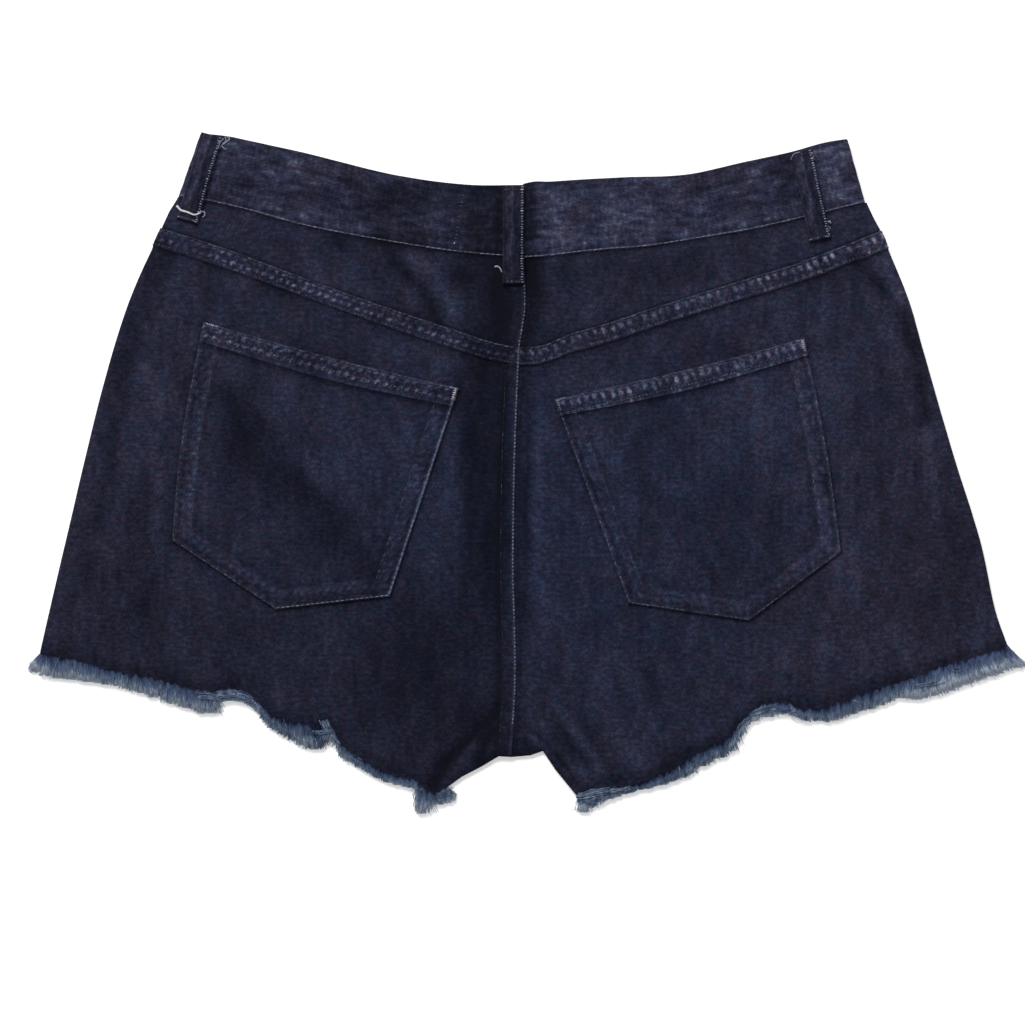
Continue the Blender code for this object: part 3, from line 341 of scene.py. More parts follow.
# Loose weft at the notches: x, y, run in x and y, number of strands, spread
WEFT_BUNDLES = [
    (-189, -128.5, 16, -1.5, 22, 4.4), (-180, -128.6, 14, 0.6, 34, 4.0),
    (-170, -128.4, 12, -4.0, 24, 3.0), (-161, -132.0, 8, -7.0, 12, 2.2),
    (-152, -140.0, 6, -6.0, 6, 1.6), (-123, -150.5, 13, 0.5, 14, 2.0),
    (-118.4, -140.6, 2.8, -8.6, 36, 1.8), (-112, -152.0, 7, -6.0, 8, 2.0),
    (-101, -164.0, 9, -5.0, 8, 2.0), (-62, -184.0, 9, -3.0, 8, 4.0), (-52, -187.0, 10, 3.5, 9, 3.0),
    (31, -187.0, 22, 4.4, 30, 3.0), (34, -191.0, 14, 4.0, 16, 3.0), (48, -184.4, 15, 3.0, 12, 1.4),
    (122, -147.0, 9, 8.0, 12, 1.8), (131, -139.0, 13, 4.5, 22, 2.4), (143, -136.0, 13, -1.6, 18, 2.2),
    (155, -138.5, 9, -5.0, 10, 1.6), (226, -124.0, 17, 3.0, 7, 3.0), (248, -113.0, 5, -2.0, 7, 1.2),
    (190, -131.0, 5, -2.0, 5, 1.2),
]
# Threads that each strand of weft has frayed into
WEFT_SHARE = 3
# Loose ends of sewing thread on the loops: radius, tone, and the points that each runs through
THREAD_ENDS = [
    (0.85, 0.78, [(-202.4, 155.0), (-200.4, 152.6), (-196.3, 151.2), (-191.7, 149.6), (-188.4, 151.0)]),
    (0.70, 0.48, [(-188.6, 151.6), (-186.6, 151.4), (-186.4, 149.4), (-187.8, 148.4)]),
    (0.55, 0.54, [(-173.6, 195.4), (-172.0, 193.8), (-174.4, 191.6), (-176.6, 190.0)]),
    (0.50, 0.50, [(-174.6, 195.0), (-174.0, 192.6), (-176.0, 191.0), (-177.6, 188.4)]),
    (0.50, 0.54, [(-176.8, 190.4), (-175.6, 188.6), (-173.8, 187.6)]),
    (0.45, 0.46, [(-175.4, 193.8), (-177.4, 191.2), (-178.2, 188.0)]),
    (0.60, 0.60, [(-18.4, 119.6), (-17.0, 119.9), (-15.2, 118.6), (-14.2, 116.4)]),
    (0.45, 0.42, [(158.0, 185.8), (154.6, 184.6), (152.9, 181.4)]),
    (0.55, 0.44, [(165.2, 185.6), (166.0, 184.4), (166.6, 182.0)]),
    (0.45, 0.40, [(165.6, 183.4), (166.9, 181.6)]),
    (0.80, 0.50, [(174.6, 145.6), (175.8, 145.9), (176.2, 144.8)]),
    (0.50, 0.32, [(174.8, 143.0), (176.0, 142.2), (175.2, 140.8)]),
    (0.45, 0.28, [(174.2, 139.0), (175.4, 138.4), (175.0, 137.4)]),
]


# ---------------------------------------------------------------- settings of the add-on

def length(name, description, default):
    """A length in metres that a user may change."""
    return bpy.props.FloatProperty(name=name, description=description, default=default, min=0.0,
                                   unit="LENGTH", subtype="DISTANCE", precision=5)


def tint(name, description, default):
    """An sRGB hex colour that a user may change."""
    return bpy.props.StringProperty(name=name, description=description, default=default)


def share(name, description, default):
    """A share from 0 to 1 that a user may change."""
    return bpy.props.FloatProperty(name=name, description=description, default=default, min=0.0,
                                   max=1.0, subtype="FACTOR")


class ShortsCloth(bpy.types.PropertyGroup):
    """Thickness and relief of the cloth's outer face."""

    wall: length("Denim", "Thickness of one layer of denim", 0.0012)
    loop_wall: length("Belt loop", "Thickness of a folded belt loop", 0.0016)
    fell_rise: length("Felled seam", "Rise of a felled seam above the cloth", 0.0009)
    pucker_rise: length("Pucker height", "Height of the puckers along the seams", 0.00034)
    pucker_pitch: length("Pucker pitch", "Mean distance between two puckers", 0.0050)
    grid: length("Cell", "Distance between the points of the cloth's surface", 0.0010)


class ShortsThread(bpy.types.PropertyGroup):
    """Sewing thread."""

    stitch: length("Stitch", "Length of one topstitch", 0.0030)
    pause: length("Pause", "Distance between two topstitches", 0.0003)
    width: length("Thread", "Width of the topstitching thread", 0.0005)
    tack: length("Bartack", "Pitch of the zigzag of a bartack", 0.0006)


class ShortsFray(bpy.types.PropertyGroup):
    """Threads of the cut hems."""

    pitch: length("Pitch", "Mean distance between hanging threads", 0.000052)
    width: length("Width", "Width of a hanging thread at its tip", 0.00043)
    front_hang: length("Front hang", "Length of the fray under the front hems", 0.006)
    tuft: length("Tuft", "Mean width of the tufts that the threads gather in", 0.0034)
    gather: share("Gather", "How far threads lean to the middle of their tuft", 0.07)


class ShortsColours(bpy.types.PropertyGroup):
    """Colours of the finishes, as sRGB hex values."""

    # The deepest indigo is also reached where shade is painted into hollows and beside raised seams
    deep: tint("Indigo, deepest", "Unworn hollows of the denim", "#0B0C15")
    shade: tint("Indigo, dark", "Darker yarns", "#131421")
    indigo: tint("Indigo", "Most of the denim", "#1F2030")
    light: tint("Indigo, light", "Paler yarns", "#2E3045")
    worn: tint("Indigo, worn", "Rubbed ridges and slubs", "#474B5F")
    pale: tint("Indigo, palest", "Crests of the puckers and seam edges", "#767C8F")
    tonal: tint("Topstitching, dark", "Sewing thread that hides in the cloth", "#12131C")
    stitch: tint("Topstitching", "Tonal sewing thread", "#72768A")
    natural: tint("Natural cotton", "Undyed weft and loose thread ends", "#D9D6CE")
    # The root colour is darker than the cloth: partly dyed yarn, partly painted shade under the cloth's
    # edge
    fray_root_and_shade: tint("Fray, root", "Frayed warp beside the cloth", "#14182B")
    fray_middle: tint("Fray, middle", "Frayed warp half way down", "#414F6D")
    fray_tip: tint("Fray, tip", "Frayed warp at its tips", "#67768E")
    fray_weft: tint("Fray, weft", "Undyed weft at the notches", "#AEB9C8")
    dull_brass: tint("Brass, dull", "Scratches of the fly button", "#7C6840")
    brass: tint("Brass", "Fly button", "#B59A62")
    floor: tint("Floor", "The surface that the shorts lie on", "#F2F2F1")


class ShortsStudio(bpy.types.PropertyGroup):
    """Camera and light."""

    camera_height: length("Camera height", "Height of the camera over the floor", 2.0)
    frame_width: length("Frame width", "Width of the picture where the cloth lies", 0.5945)
    centre_x: bpy.props.FloatProperty(name="Centre X", description="Middle of the picture",
                                      default=-0.0081, unit="LENGTH", subtype="DISTANCE")
    centre_y: bpy.props.FloatProperty(name="Centre Y", description="Middle of the picture",
                                      default=-0.0226, unit="LENGTH", subtype="DISTANCE")
    key: bpy.props.FloatProperty(name="Key light", description="Soft light from the waist side",
                                 default=235.0, min=0.0, unit="POWER")
    fill: bpy.props.FloatProperty(name="Fill light", description="Soft light from the hem side",
                                  default=30.0, min=0.0, unit="POWER")
    world: share("Room light", "Strength of the even light all round", 0.32)


# ---------------------------------------------------------------- curves and distances

def parts_of(points):
    """The length of each straight part of a polyline."""
    return np.linalg.norm(np.diff(points, axis=0), axis=1)


def run_along(points):
    """The distance along a polyline to each of its points."""
    return np.concatenate(([0.0], np.cumsum(parts_of(points))))


def smooth_curve(points, fractions):
    """Points of a smooth curve through the given ones, at fractions of its chord length."""
    knots = np.asarray(points, float)
    chord = parts_of(knots)
    place = run_along(knots)
    slope = np.gradient(knots, place, axis=0)
    wanted = np.asarray(fractions, float) * place[-1]
    cell = np.clip(np.searchsorted(place, wanted, side="right") - 1, 0, len(chord) - 1)
    width = chord[cell][:, None]
    t = (wanted[:, None] - place[cell][:, None]) / width
    near = (1 + 2 * t) * (1 - t) ** 2 * knots[cell] + t * (1 - t) ** 2 * width * slope[cell]
    far = t * t * (3 - 2 * t) * knots[cell + 1] - t * t * (1 - t) * width * slope[cell + 1]
    return near + far


def unit(vectors):
    """Vectors brought to a length of 1."""
    return vectors / np.linalg.norm(vectors, axis=-1, keepdims=True)


def left_of(ahead):
    """Each direction in plan, turned a quarter to the left."""
    return np.stack([-ahead[..., 1], ahead[..., 0]], axis=-1)


def ellipses(table, x, y):
    """The sum of soft elliptical spots at a place, from rows of x, y, reach in x and y, amount."""
    return sum(amount * np.exp(-((x - cx) / rx) ** 2 - ((y - cy) / ry) ** 2)
               for cx, cy, rx, ry, amount in table)


def fractions_of(points):
    """The fraction of a polyline's length in plan at each of its points."""
    place = run_along(np.asarray(points, float)[:, :2])
    return place / place[-1]


def straight_curve(points, fractions):
    """Points of a polyline at fractions of its length."""
    knots = np.asarray(points, float)
    place = fractions_of(knots)
    return np.stack([np.interp(fractions, place, column) for column in knots.T], axis=1)


def distance_to(path, x, y):
    """Distance in plan from each place to a polyline."""
    best = np.full(np.shape(x), np.inf)
    for (ax, ay), (bx, by) in zip(path[:-1], path[1:]):
        dx = bx - ax
        dy = by - ay
        t = np.clip(((x - ax) * dx + (y - ay) * dy) / (dx * dx + dy * dy), 0, 1)
        best = np.minimum(best, np.hypot(x - ax - t * dx, y - ay - t * dy))
    return best


def plateau(distance, clear, fade):
    """1 within the clear distance, 0 past the fade, with a smooth slope between."""
    t = np.clip((fade - distance) / (fade - clear), 0, 1)
    return t * t * (3 - 2 * t)


def rounded(distance, reach):
    """Quarter of an ellipse: 0 on the edge, 1 from the reach inwards."""
    t = np.clip(distance / reach, 0, 1)
    return np.sqrt(1 - (1 - t) ** 2)


def bump(distance, width):
    """A soft ridge over a line."""
    return np.exp(-(distance / width) ** 2)


def ledge(place, start, end, edge):
    """1 between start and end, with a short slope at both."""
    return plateau(start - place, 0.0, edge) * plateau(place - end, 0.0, edge)


def ripple(x, y, size, seed, stretch=(1.0, 1.0), waves=16):
    """Soft uneven relief, mostly within -1 and 1: waves of like length in all directions."""
    rng = np.random.default_rng(seed)
    total = np.zeros(np.shape(x))
    for _ in range(waves):
        turn = rng.uniform(0, math.tau)
        pitch = size * rng.uniform(0.7, 1.6)
        along = x * math.cos(turn) / stretch[0] + y * math.sin(turn) / stretch[1]
        total = total + np.cos(math.tau * along / pitch + rng.uniform(0, math.tau))
    return total / math.sqrt(waves)


def finer(knots, step):
    """The given places with even ones between them, no further apart than the step."""
    knots = np.sort(np.asarray(knots, float))
    parts = [np.linspace(a, b, max(1, math.ceil((b - a) / step)) + 1)[:-1]
             for a, b in zip(knots[:-1], knots[1:])]
    return np.concatenate(parts + [knots[-1:]])


def stepped(stretches):
    """Places along a line, from stretches of (start, end, step)."""
    parts = [np.linspace(a, b, max(1, round((b - a) / step)) + 1)[:-1] for a, b, step in stretches]
    return np.concatenate(parts + [[stretches[-1][1]]])


def walk(path, step):
    """Points along a polyline at an even step."""
    knots = np.asarray(path, float)
    total = run_along(knots[:, :2])[-1]
    return straight_curve(knots, np.linspace(0, 1, max(2, round(total / step) + 1)))


# ---------------------------------------------------------------- heights of the two layers

SMOOTH_SIDE = {side: smooth_curve(SIDE[side], np.linspace(0, 1, 40)) for side in SIDES}


def front_height(x, y):
    """Outer face of the front layer: flat, but lifted over the button and the front loops."""
    button = np.hypot(x - BUTTON["x"], y - BUTTON["y"])
    lift = (BUTTON["height"] + GAP) * plateau(button, BUTTON_CLEAR, BUTTON_FADE)
    for loop in FRONT_LOOPS.values():
        away = distance_to([loop["top"], loop["foot"]], x, y)
        loop_lift = (FRONT_LOOP_WALL + GAP) * plateau(away, FRONT_LOOP_CLEAR, FRONT_LOOP_FADE)
        lift = np.maximum(lift, loop_lift)
    return lift


def narrow_creases(x, y):
    """Height of the narrow creases on the broad folds."""
    relief = np.zeros(np.shape(x))
    for count, (rise, wide, points) in enumerate(CREASES):
        away = distance_to(points, x, y)
        uneven = 1 + 0.3 * ripple(x, y, 24, 40 + count, waves=5)
        relief = relief + rise * uneven * bump(away, wide)
    return relief


def fine_wrinkles(x, y):
    """Height of the soft wrinkles that worn denim keeps all over."""
    long = WRINKLE * ripple(x, y, 34, 3, (0.8, 1.6))
    return long + 0.45 * WRINKLE * ripple(x, y, 11, 5, (0.7, 1.8))


def back_height(x, y):
    """Inner face of the back layer: a shallow lay with folds, round at the sides."""
    lay = np.ones(np.shape(x))
    for side in SIDES:
        lay = np.minimum(lay, rounded(distance_to(SMOOTH_SIDE[side], x, y), SIDE_REACH))
        lay = np.minimum(lay, rounded(distance_to(INSEAM[side], x, y), INSEAM_REACH))
    closure = np.hypot(x - BUTTON["x"], y - BUTTON["y"])
    rise = LAY_LIFT + CLOSURE_RISE * plateau(closure, CLOSURE_CLEAR, CLOSURE_FADE)
    for x0, y0, x1, y1, height, wide in FOLDS:
        rise = rise + height * bump(distance_to([(x0, y0), (x1, y1)], x, y), wide)
    rise = rise + narrow_creases(x, y) + fine_wrinkles(x, y)
    under = np.maximum(front_height(x, y) * lay, 0.02)
    band = BAND_WALL * plateau(-y, -BAND_LOW, -BAND_LOW + 20.0) * lay
    return CLOTH + GAP + soft_floor(rise * lay, under + band)


def soft_floor(value, least):
    """The larger of two heights, with a smooth turn from one to the other."""
    blend = 0.5
    gap = value - least
    return least + (gap + np.sqrt(gap * gap + blend * blend * 0.25)) / 2


def hem_height(x, y, from_hem):
    """The back layer sinks towards its cut hem and lies close on the front there."""
    settle = HEM_SHARE + (1 - HEM_SHARE) * plateau(-np.asarray(from_hem), -HEM_REACH, 0.0)
    return CLOTH + GAP + (back_height(x, y) - CLOTH - GAP) * settle


def fade_and_shade_at(x, y):
    """Broad paler and darker spots, and the narrow creases' hollows darker and ridges paler:
    partly unworn and rubbed dye, partly painted shade and highlight.
    """
    return 0.22 * np.clip(narrow_creases(x, y), -1.5, 0.9) + ellipses(FADES_AND_SHADES, x, y)


def seam_wear_and_shade(name, distance):
    """How the cloth is rubbed paler or painted darker as shade, at a distance from a seam."""
    return sum(amount * bump(distance - place, width) for place, width, amount in SEAM_WEAR_AND_SHADE[name])


def pocket_side(shape, rows):
    """The bowed outer edge of a pocket, at fractions of its length."""
    outer = straight_curve([shape["outer_top"], shape["outer_foot"]], rows)
    outer[:, 0] += shape["bow"] * np.sin(np.pi * rows)
    return outer


def pocket_path(shape, count):
    """The sewn edge of a pocket: down its outer edge, round its point and up the inner edge."""
    outer = pocket_side(shape, np.linspace(0, 1, count))
    return outer.tolist() + [shape["point"], shape["inner_foot"], shape["inner_top"]]


def beside_pocket(side, x, y):
    """How close a place on the leg is to the sewn edge of its pocket, from 0 to 1."""
    return bump(distance_to(pocket_path(POCKET[side], 12), x, y), 2.0)


def puckers(along, across, pitch, seed, stagger):
    """Puckers between two rows of stitches, from 0 to 1: strokes right over the band, and blobs
    beside each row in turn."""
    drift = 0.9 * ripple(along, 0 * along, pitch * 6, seed, waves=6)
    turn = math.tau * along / pitch + 2.0 * drift
    stroke = np.clip(np.sin(turn) + 0.3, 0, None) / 1.3
    upper = np.clip(np.sin(turn + 0.5) + 0.2, 0, None) / 1.2 * bump(across - 0.34, 0.22)
    lower = np.clip(np.sin(1.12 * turn + 3.4) + 0.2, 0, None) / 1.2 * bump(across - 0.7, 0.17)
    uneven = 0.75 + 0.35 * ripple(along, 9 * across, pitch * 2.0, seed + 1, waves=8)
    blobs = upper + 0.8 * lower
    mixed = (1 - stagger) * stroke ** 1.4 + stagger * blobs
    return np.clip(mixed * np.clip(uneven, 0.2, 1.3), 0, 1.3)


# ---------------------------------------------------------------- sheets from grids

def band_cells(side, beside, down):
    """Seam coordinates: two staggered rows of puckers on the left, one row on the right."""
    if side == "left":
        return np.stack([beside + 0.5 * down, 1.95 * (down - 1.6)], axis=2)
    return np.stack([0.95 * beside, down - 1.85], axis=2)


def trend(line):
    """A line's slow course, its ends kept."""
    place = np.linspace(0, 1, 25)
    own = np.linspace(0, 1, len(line))
    steady = np.stack([np.interp(place, own, column) for column in line.T], axis=1)
    for _ in range(12):
        steady[1:-1] = (steady[:-2] + 2 * steady[1:-1] + steady[2:]) / 4
    return np.stack([np.interp(own, place, column) for column in steady.T], axis=1)


def patch(top, foot, left, right, columns, rows):
    """Fill four edge curves with a grid. Notches in the foot stay near it."""
    u = np.asarray(columns)[None, :, None]
    v = np.asarray(rows)[:, None, None]
    steady = trend(foot)
    across = (1 - v) * top[None] + v * steady[None] + v ** NOTCH_FADE * (foot - steady)[None]
    left_chord = left[0] + (left[-1] - left[0]) * v[:, 0]
    right_chord = right[0] + (right[-1] - right[0]) * v[:, 0]
    return across + (1 - u) * (left - left_chord)[:, None] + u * (right - right_chord)[:, None]


def grid_normals(grid):
    """Unit normals of a grid of points."""
    normal = np.cross(np.gradient(grid, axis=0), np.gradient(grid, axis=1))
    return normal / np.maximum(np.linalg.norm(normal, axis=2, keepdims=True), 1e-9)


def thickened(under, thick):
    """The upper face of a sheet, straight above its lower face."""
    return under + np.array([0, 0, 1.0]) * np.asarray(thick)[..., None]


def lay_on(plan, height):
    """Give each point of a plan grid its height."""
    return np.concatenate([plan, height(plan[..., 0], plan[..., 1])[..., None]], axis=2)


def plan_area(plan):
    """Flat area of a plan grid, square metres."""
    rim = np.concatenate([plan[0], plan[1:, -1], plan[-1, -2::-1], plan[-2:0:-1, 0]])
    x, y = rim[:, 0], rim[:, 1]
    return abs(np.dot(x, np.roll(y, 1)) - np.dot(y, np.roll(x, 1))) / 2 * MM * MM


def mesh_object(name, points, faces, material, values):
    """A smooth-shaded object at the origin, from points in mm, with named values on its points."""
    mesh = bpy.data.meshes.new(name)
    mesh.from_pydata((np.asarray(points) * MM).tolist(), [], faces)
    mesh.materials.append(material)
    for key, numbers in values.items():
        attribute = mesh.attributes.new(key, "FLOAT", "POINT")
        attribute.data.foreach_set("value", np.asarray(numbers, np.float32))
    mesh.shade_smooth()
    item = bpy.data.objects.new(name, mesh)
    bpy.context.scene.collection.objects.link(item)
    return item


def closed_sheet(name, under, over, grain, wear_and_shade, material, seam=None, pucker=None):
    """A cloth piece with both faces and its cut edge, its grain as a UV map in metres.

    The seam coordinates run along and across a puckered seam band, where pucker is over 0.
    """
    seam = 0 * grain if seam is None else seam
    pucker = 0 * wear_and_shade if pucker is None else pucker
    rows, columns = under.shape[:2]
    points = np.concatenate([under.reshape(-1, 3), over.reshape(-1, 3)])
    lift = rows * columns
    r, c = np.meshgrid(np.arange(rows - 1), np.arange(columns - 1), indexing="ij")
    a = (r * columns + c).ravel()
    cell = np.stack([a, a + columns, a + columns + 1, a + 1], axis=1)
    rim = np.concatenate([np.arange(columns), (np.arange(1, rows) + 1) * columns - 1,
                          (rows - 1) * columns + np.arange(columns - 2, -1, -1),
                          np.arange(rows - 2, 0, -1) * columns])
    after = np.roll(rim, -1)
    edge = np.stack([rim, rim + lift, after + lift, after], axis=1)
    faces = np.concatenate([cell + lift, cell[:, ::-1], edge]).tolist()
    cast = ellipses(CASTS, over[..., 0], over[..., 1])
    # Rubbed and washed-out cloth and painted shade are kept as one value on the points
    values = {"wear_and_shade": np.tile(wear_and_shade.ravel(), 2), "pucker": np.tile(pucker.ravel(), 2),
              "cast": np.tile(cast.ravel(), 2)}
    item = mesh_object(name, points, faces, material, values)
    mesh = item.data
    mesh.set_sharp_from_angle(angle=math.radians(60))
    index = np.empty(len(mesh.loops), np.int32)
    mesh.loops.foreach_get("vertex_index", index)
    for key, places in (("grain", grain), ("seam", seam)):
        flat = np.tile(places.reshape(-1, 2), (2, 1))[index] * MM
        mesh.uv_layers.new(name=key).data.foreach_set("uv", flat.ravel().astype(np.float32))
    return item


def show_cloth(item, node):
    """Let a cloth piece stand for its solid: attach it to the root and hide the solid."""
    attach(item, "root")
    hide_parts(node)


# ---------------------------------------------------------------- cloth of the back

def joined_foot(side, hem, inseam):
    """The foot of a leg from left to right: its cut hem and its inseam."""
    if side == "left":
        return np.array(hem + inseam[::-1][1:], float)
    return np.array(inseam[:-1] + hem, float)


def foot_knots(side):
    """The foot of a back leg, with how far the fray hangs below it."""
    return joined_foot(side, HEM[side], [(x, y, 0) for x, y in INSEAM[side]])


def leg_columns(side, step):
    """Places across a back leg, close together, with every point of the foot among them."""
    foot = foot_knots(side)
    start = foot[0, 0]
    span = foot[-1, 0] - start
    knots = list((foot[:, 0] - start) / span)
    by_side = [value / span for value in SIDE_COLUMNS]
    if side == "left":
        knots += by_side + [1 - value / span for value in FELL_COLUMNS]
    else:
        knots += [1 - value for value in by_side]
    kept = []
    for knot in sorted(knots):
        if not kept or knot - kept[-1] > 0.15 / span:
            kept.append(knot)
    kept[-1] = 1.0
    return finer(kept, step / span), start, span


def foot_line(side, x):
    """The foot of a back leg at places in x, its cut hem a little uneven from thread to thread."""
    foot = foot_knots(side)
    line = np.stack([np.interp(x, foot[:, 0], column) for column in foot.T], axis=1)
    low, high = sorted((HEM[side][0][0], HEM[side][-1][0]))
    on_hem = plateau(np.abs(x - (low + high) / 2), (high - low) / 2 - 3, (high - low) / 2)
    line[:, 1] += 0.55 * on_hem * ripple(x, 0 * x, 3.6, 17 if side == "left" else 19)
    return line


def leg_plan(side, top_knots, foot, centre, outer, columns, rows):
    """The plan grid of a leg. Its top runs from the centre outwards, and its foot left to right."""
    top = smooth_curve(top_knots[::-1] if side == "left" else top_knots, columns)
    top[:, 1] -= SEAM_GAP
    left, right = (outer, centre) if side == "left" else (centre, outer)
    left[0], right[0] = (left[0][0], top[0][1]), (right[0][0], top[-1][1])
    top[0], top[-1] = left[0], right[0]
    foot[0], foot[-1] = left[-1], right[-1]
    return patch(top, foot, left, right, columns, rows)


def centre_fell(cloth, from_centre, y, seed):
    """The felled centre back seam: its band and puckers from 0 to 1, and its relief in mm."""
    band = ledge(from_centre, 0.2, CENTRE_FELL, 0.5)
    knots = puckers(y, from_centre / CENTRE_FELL, 5.2, seed, 0.3)
    knots = knots * ledge(from_centre, 2.4, 7.0, 1.6)
    grooves = bump(from_centre - 1.3, 0.8) + bump(from_centre - 7.6, 0.8)
    relief = cloth.fell_rise / MM * band + 0.4 * cloth.pucker_rise / MM * knots - GROOVE * grooves
    return band, knots, relief


def back_leg(side, cloth, material):
    """One back leg, from the yoke seam to the cut hem, with its felled and puckered bands."""
    columns, start, span = leg_columns(side, cloth.grid / MM)
    rows_mm = stepped([(0, 0.6, 0.3), (0.6, 10.9, 0.95), (10.9, 11.5, 0.3), (11.5, 20, 1.4),
                       (20, 240, 3.2), (240, PANEL_LENGTH, 1.4)])
    rows = rows_mm / PANEL_LENGTH
    outer = smooth_curve([point for point in SIDE[side] if point[1] <= YOKE_FOOT[side][-1][1]], rows)
    centre = smooth_curve(CENTRE_BACK[YOKE_ROW:], rows)
    foot = foot_line(side, start + columns * span)[:, :2]
    plan = leg_plan(side, YOKE_FOOT[side], foot, centre, outer, columns, rows)
    x, y = plan[..., 0], plan[..., 1]
    down = rows_mm[:, None] + 0 * x
    from_centre = (1 - columns if side == "left" else columns)[None, :] * span + 0 * x
    from_hem = PANEL_LENGTH - down
    under = np.concatenate([plan, hem_height(x, y, from_hem)[..., None]], axis=2)

    look = YOKE_ROPE[side]
    pitch = cloth.pucker_pitch / MM * look["pitch"]
    fell = ledge(down, 0.35, FELL_DEPTH, 0.5)
    uneven = 0.7 + 0.3 * ripple(x, 0 * x, 26, 29, waves=6)
    beside = x - look["lean"] * down
    rope = puckers(beside, down / FELL_DEPTH, pitch, look["seed"], look["stagger"])
    rope = rope * ledge(down, 2.0, 9.2, 1.6)
    below = puckers(beside, down / FELL_DEPTH, pitch * 1.1, 25, 0.0) * ledge(down, 12.2, 13.4, 3.0)
    grooves = bump(down - 1.5, 0.8) + bump(down - 9.8, 0.8)
    relief = cloth.fell_rise / MM * fell + cloth.pucker_rise / MM * (rope + 0.3 * below)
    relief = relief - GROOVE * grooves
    wear_and_shade = 0.16 * rope + 0.08 * below + seam_wear_and_shade("yoke_seam", down)
    wear_and_shade = wear_and_shade * np.clip(uneven, 0.4, 1.2) - 0.04 * fell + seam_wear_and_shade("centre_" + side, from_centre)
    pucker = 1.25 * ledge(down, 2.4, 9.8, 0.9) * np.clip(uneven, 0.7, 1.1)
    pucker = pucker * (1 - 0.45 * bump(x + 204, 14))
    seam = band_cells(side, beside, down)
    if side == "left":
        band, knots, own = centre_fell(cloth, from_centre, y, 31)
        relief = np.maximum(relief, own)
        wear_and_shade = wear_and_shade + 0.06 * knots - 0.10 * band
    frayed = bump(from_hem, 1.4)
    wear_and_shade = wear_and_shade + 0.06 * frayed * (0.7 + 0.5 * ripple(x, y, 5, 61)) + fade_and_shade_at(x, y)
    # Painted shade: the cloth is darker near its cut hem and beside the sewn edge of its pocket
    wear_and_shade = wear_and_shade - 0.15 * bump(from_hem - 2.5, 4.0) - 0.10 * beside_pocket(side, x, y)
    thick = cloth.wall / MM + relief - 0.45 * frayed * (cloth.wall / MM)
    facing = grid_normals(under)
    facing[-1] = (0, 0, 1)
    facing[:, -1 if side == "left" else 0] = (0, 0, 1)
    over = under + facing * np.maximum(thick, 0.4)[..., None]
    item = closed_sheet("denim_back_leg_" + side, under, over, plan, wear_and_shade, material, seam, pucker)
    return item, plan_area(plan)


def back_yoke(side, cloth, material):
    """The wedge between the waistband and the leg."""
    span = abs(YOKE_FOOT[side][-1][0] - YOKE_FOOT[side][0][0])
    knots = [value / span for value in FELL_COLUMNS] + [1 - value / span for value in SIDE_COLUMNS]
    columns = finer([0.0, 1.0] + knots, cloth.grid / MM / span)
    rows = np.linspace(0, 1, 42)
    top = smooth_curve(BAND_FOOT[side], columns)
    foot = smooth_curve(YOKE_FOOT[side], columns)
    top[:, 1] -= SEAM_GAP
    foot[:, 1] += SEAM_GAP
    seam = smooth_curve(CENTRE_BACK[1:YOKE_ROW + 1], rows)
    seam[:, 0] += -SEAM_GAP if side == "left" else SEAM_GAP
    low, high = YOKE_FOOT[side][-1][1], BAND_FOOT[side][-1][1]
    edge = smooth_curve([point for point in SIDE[side] if low <= point[1] <= high], rows)
    seam[0], seam[-1] = (seam[0][0], top[0][1]), (seam[-1][0], foot[0][1])
    edge[0], edge[-1] = top[-1], foot[-1]
    top[0], foot[0] = seam[0], seam[-1]
    plan = patch(top, foot, seam, edge, columns, rows)
    depth = np.linalg.norm(top - foot, axis=1)
    from_centre = columns * span
    if side == "left":
        plan, depth, from_centre = plan[:, ::-1], depth[::-1], from_centre[::-1]
    x, y = plan[..., 0], plan[..., 1]
    from_centre = from_centre[None, :] + 0 * x
    under = lay_on(plan, back_height)
    below_band = rows[:, None] * depth[None, :]
    above_seam = (1 - rows)[:, None] * depth[None, :]
    # Painted shadow under the waistband's edge, and painted shade above the yoke seam
    wear_and_shade = fade_and_shade_at(x, y) - 0.22 * bump(below_band, 1.8) - 0.20 * bump(above_seam, 1.3)
    relief = 0.12 * puckers(x, 0 * x, cloth.pucker_pitch / MM, 27, 0.0) * bump(above_seam, 3.0)
    if side == "left":
        band, knots, own = centre_fell(cloth, from_centre, y, 33)
        relief = relief + own
        wear_and_shade = wear_and_shade + 0.06 * knots + 0.24 * bump(from_centre - 0.9, 1.1) - 0.08 * band
    else:
        # Painted shade beside the centre seam
        wear_and_shade = wear_and_shade - 0.22 * bump(from_centre - 2.0, 1.6)
    over = under + grid_normals(under) * (cloth.wall / MM + relief)[..., None]
    item = closed_sheet("denim_yoke_" + side, under, over, plan, wear_and_shade, material)
    return item, plan_area(plan)


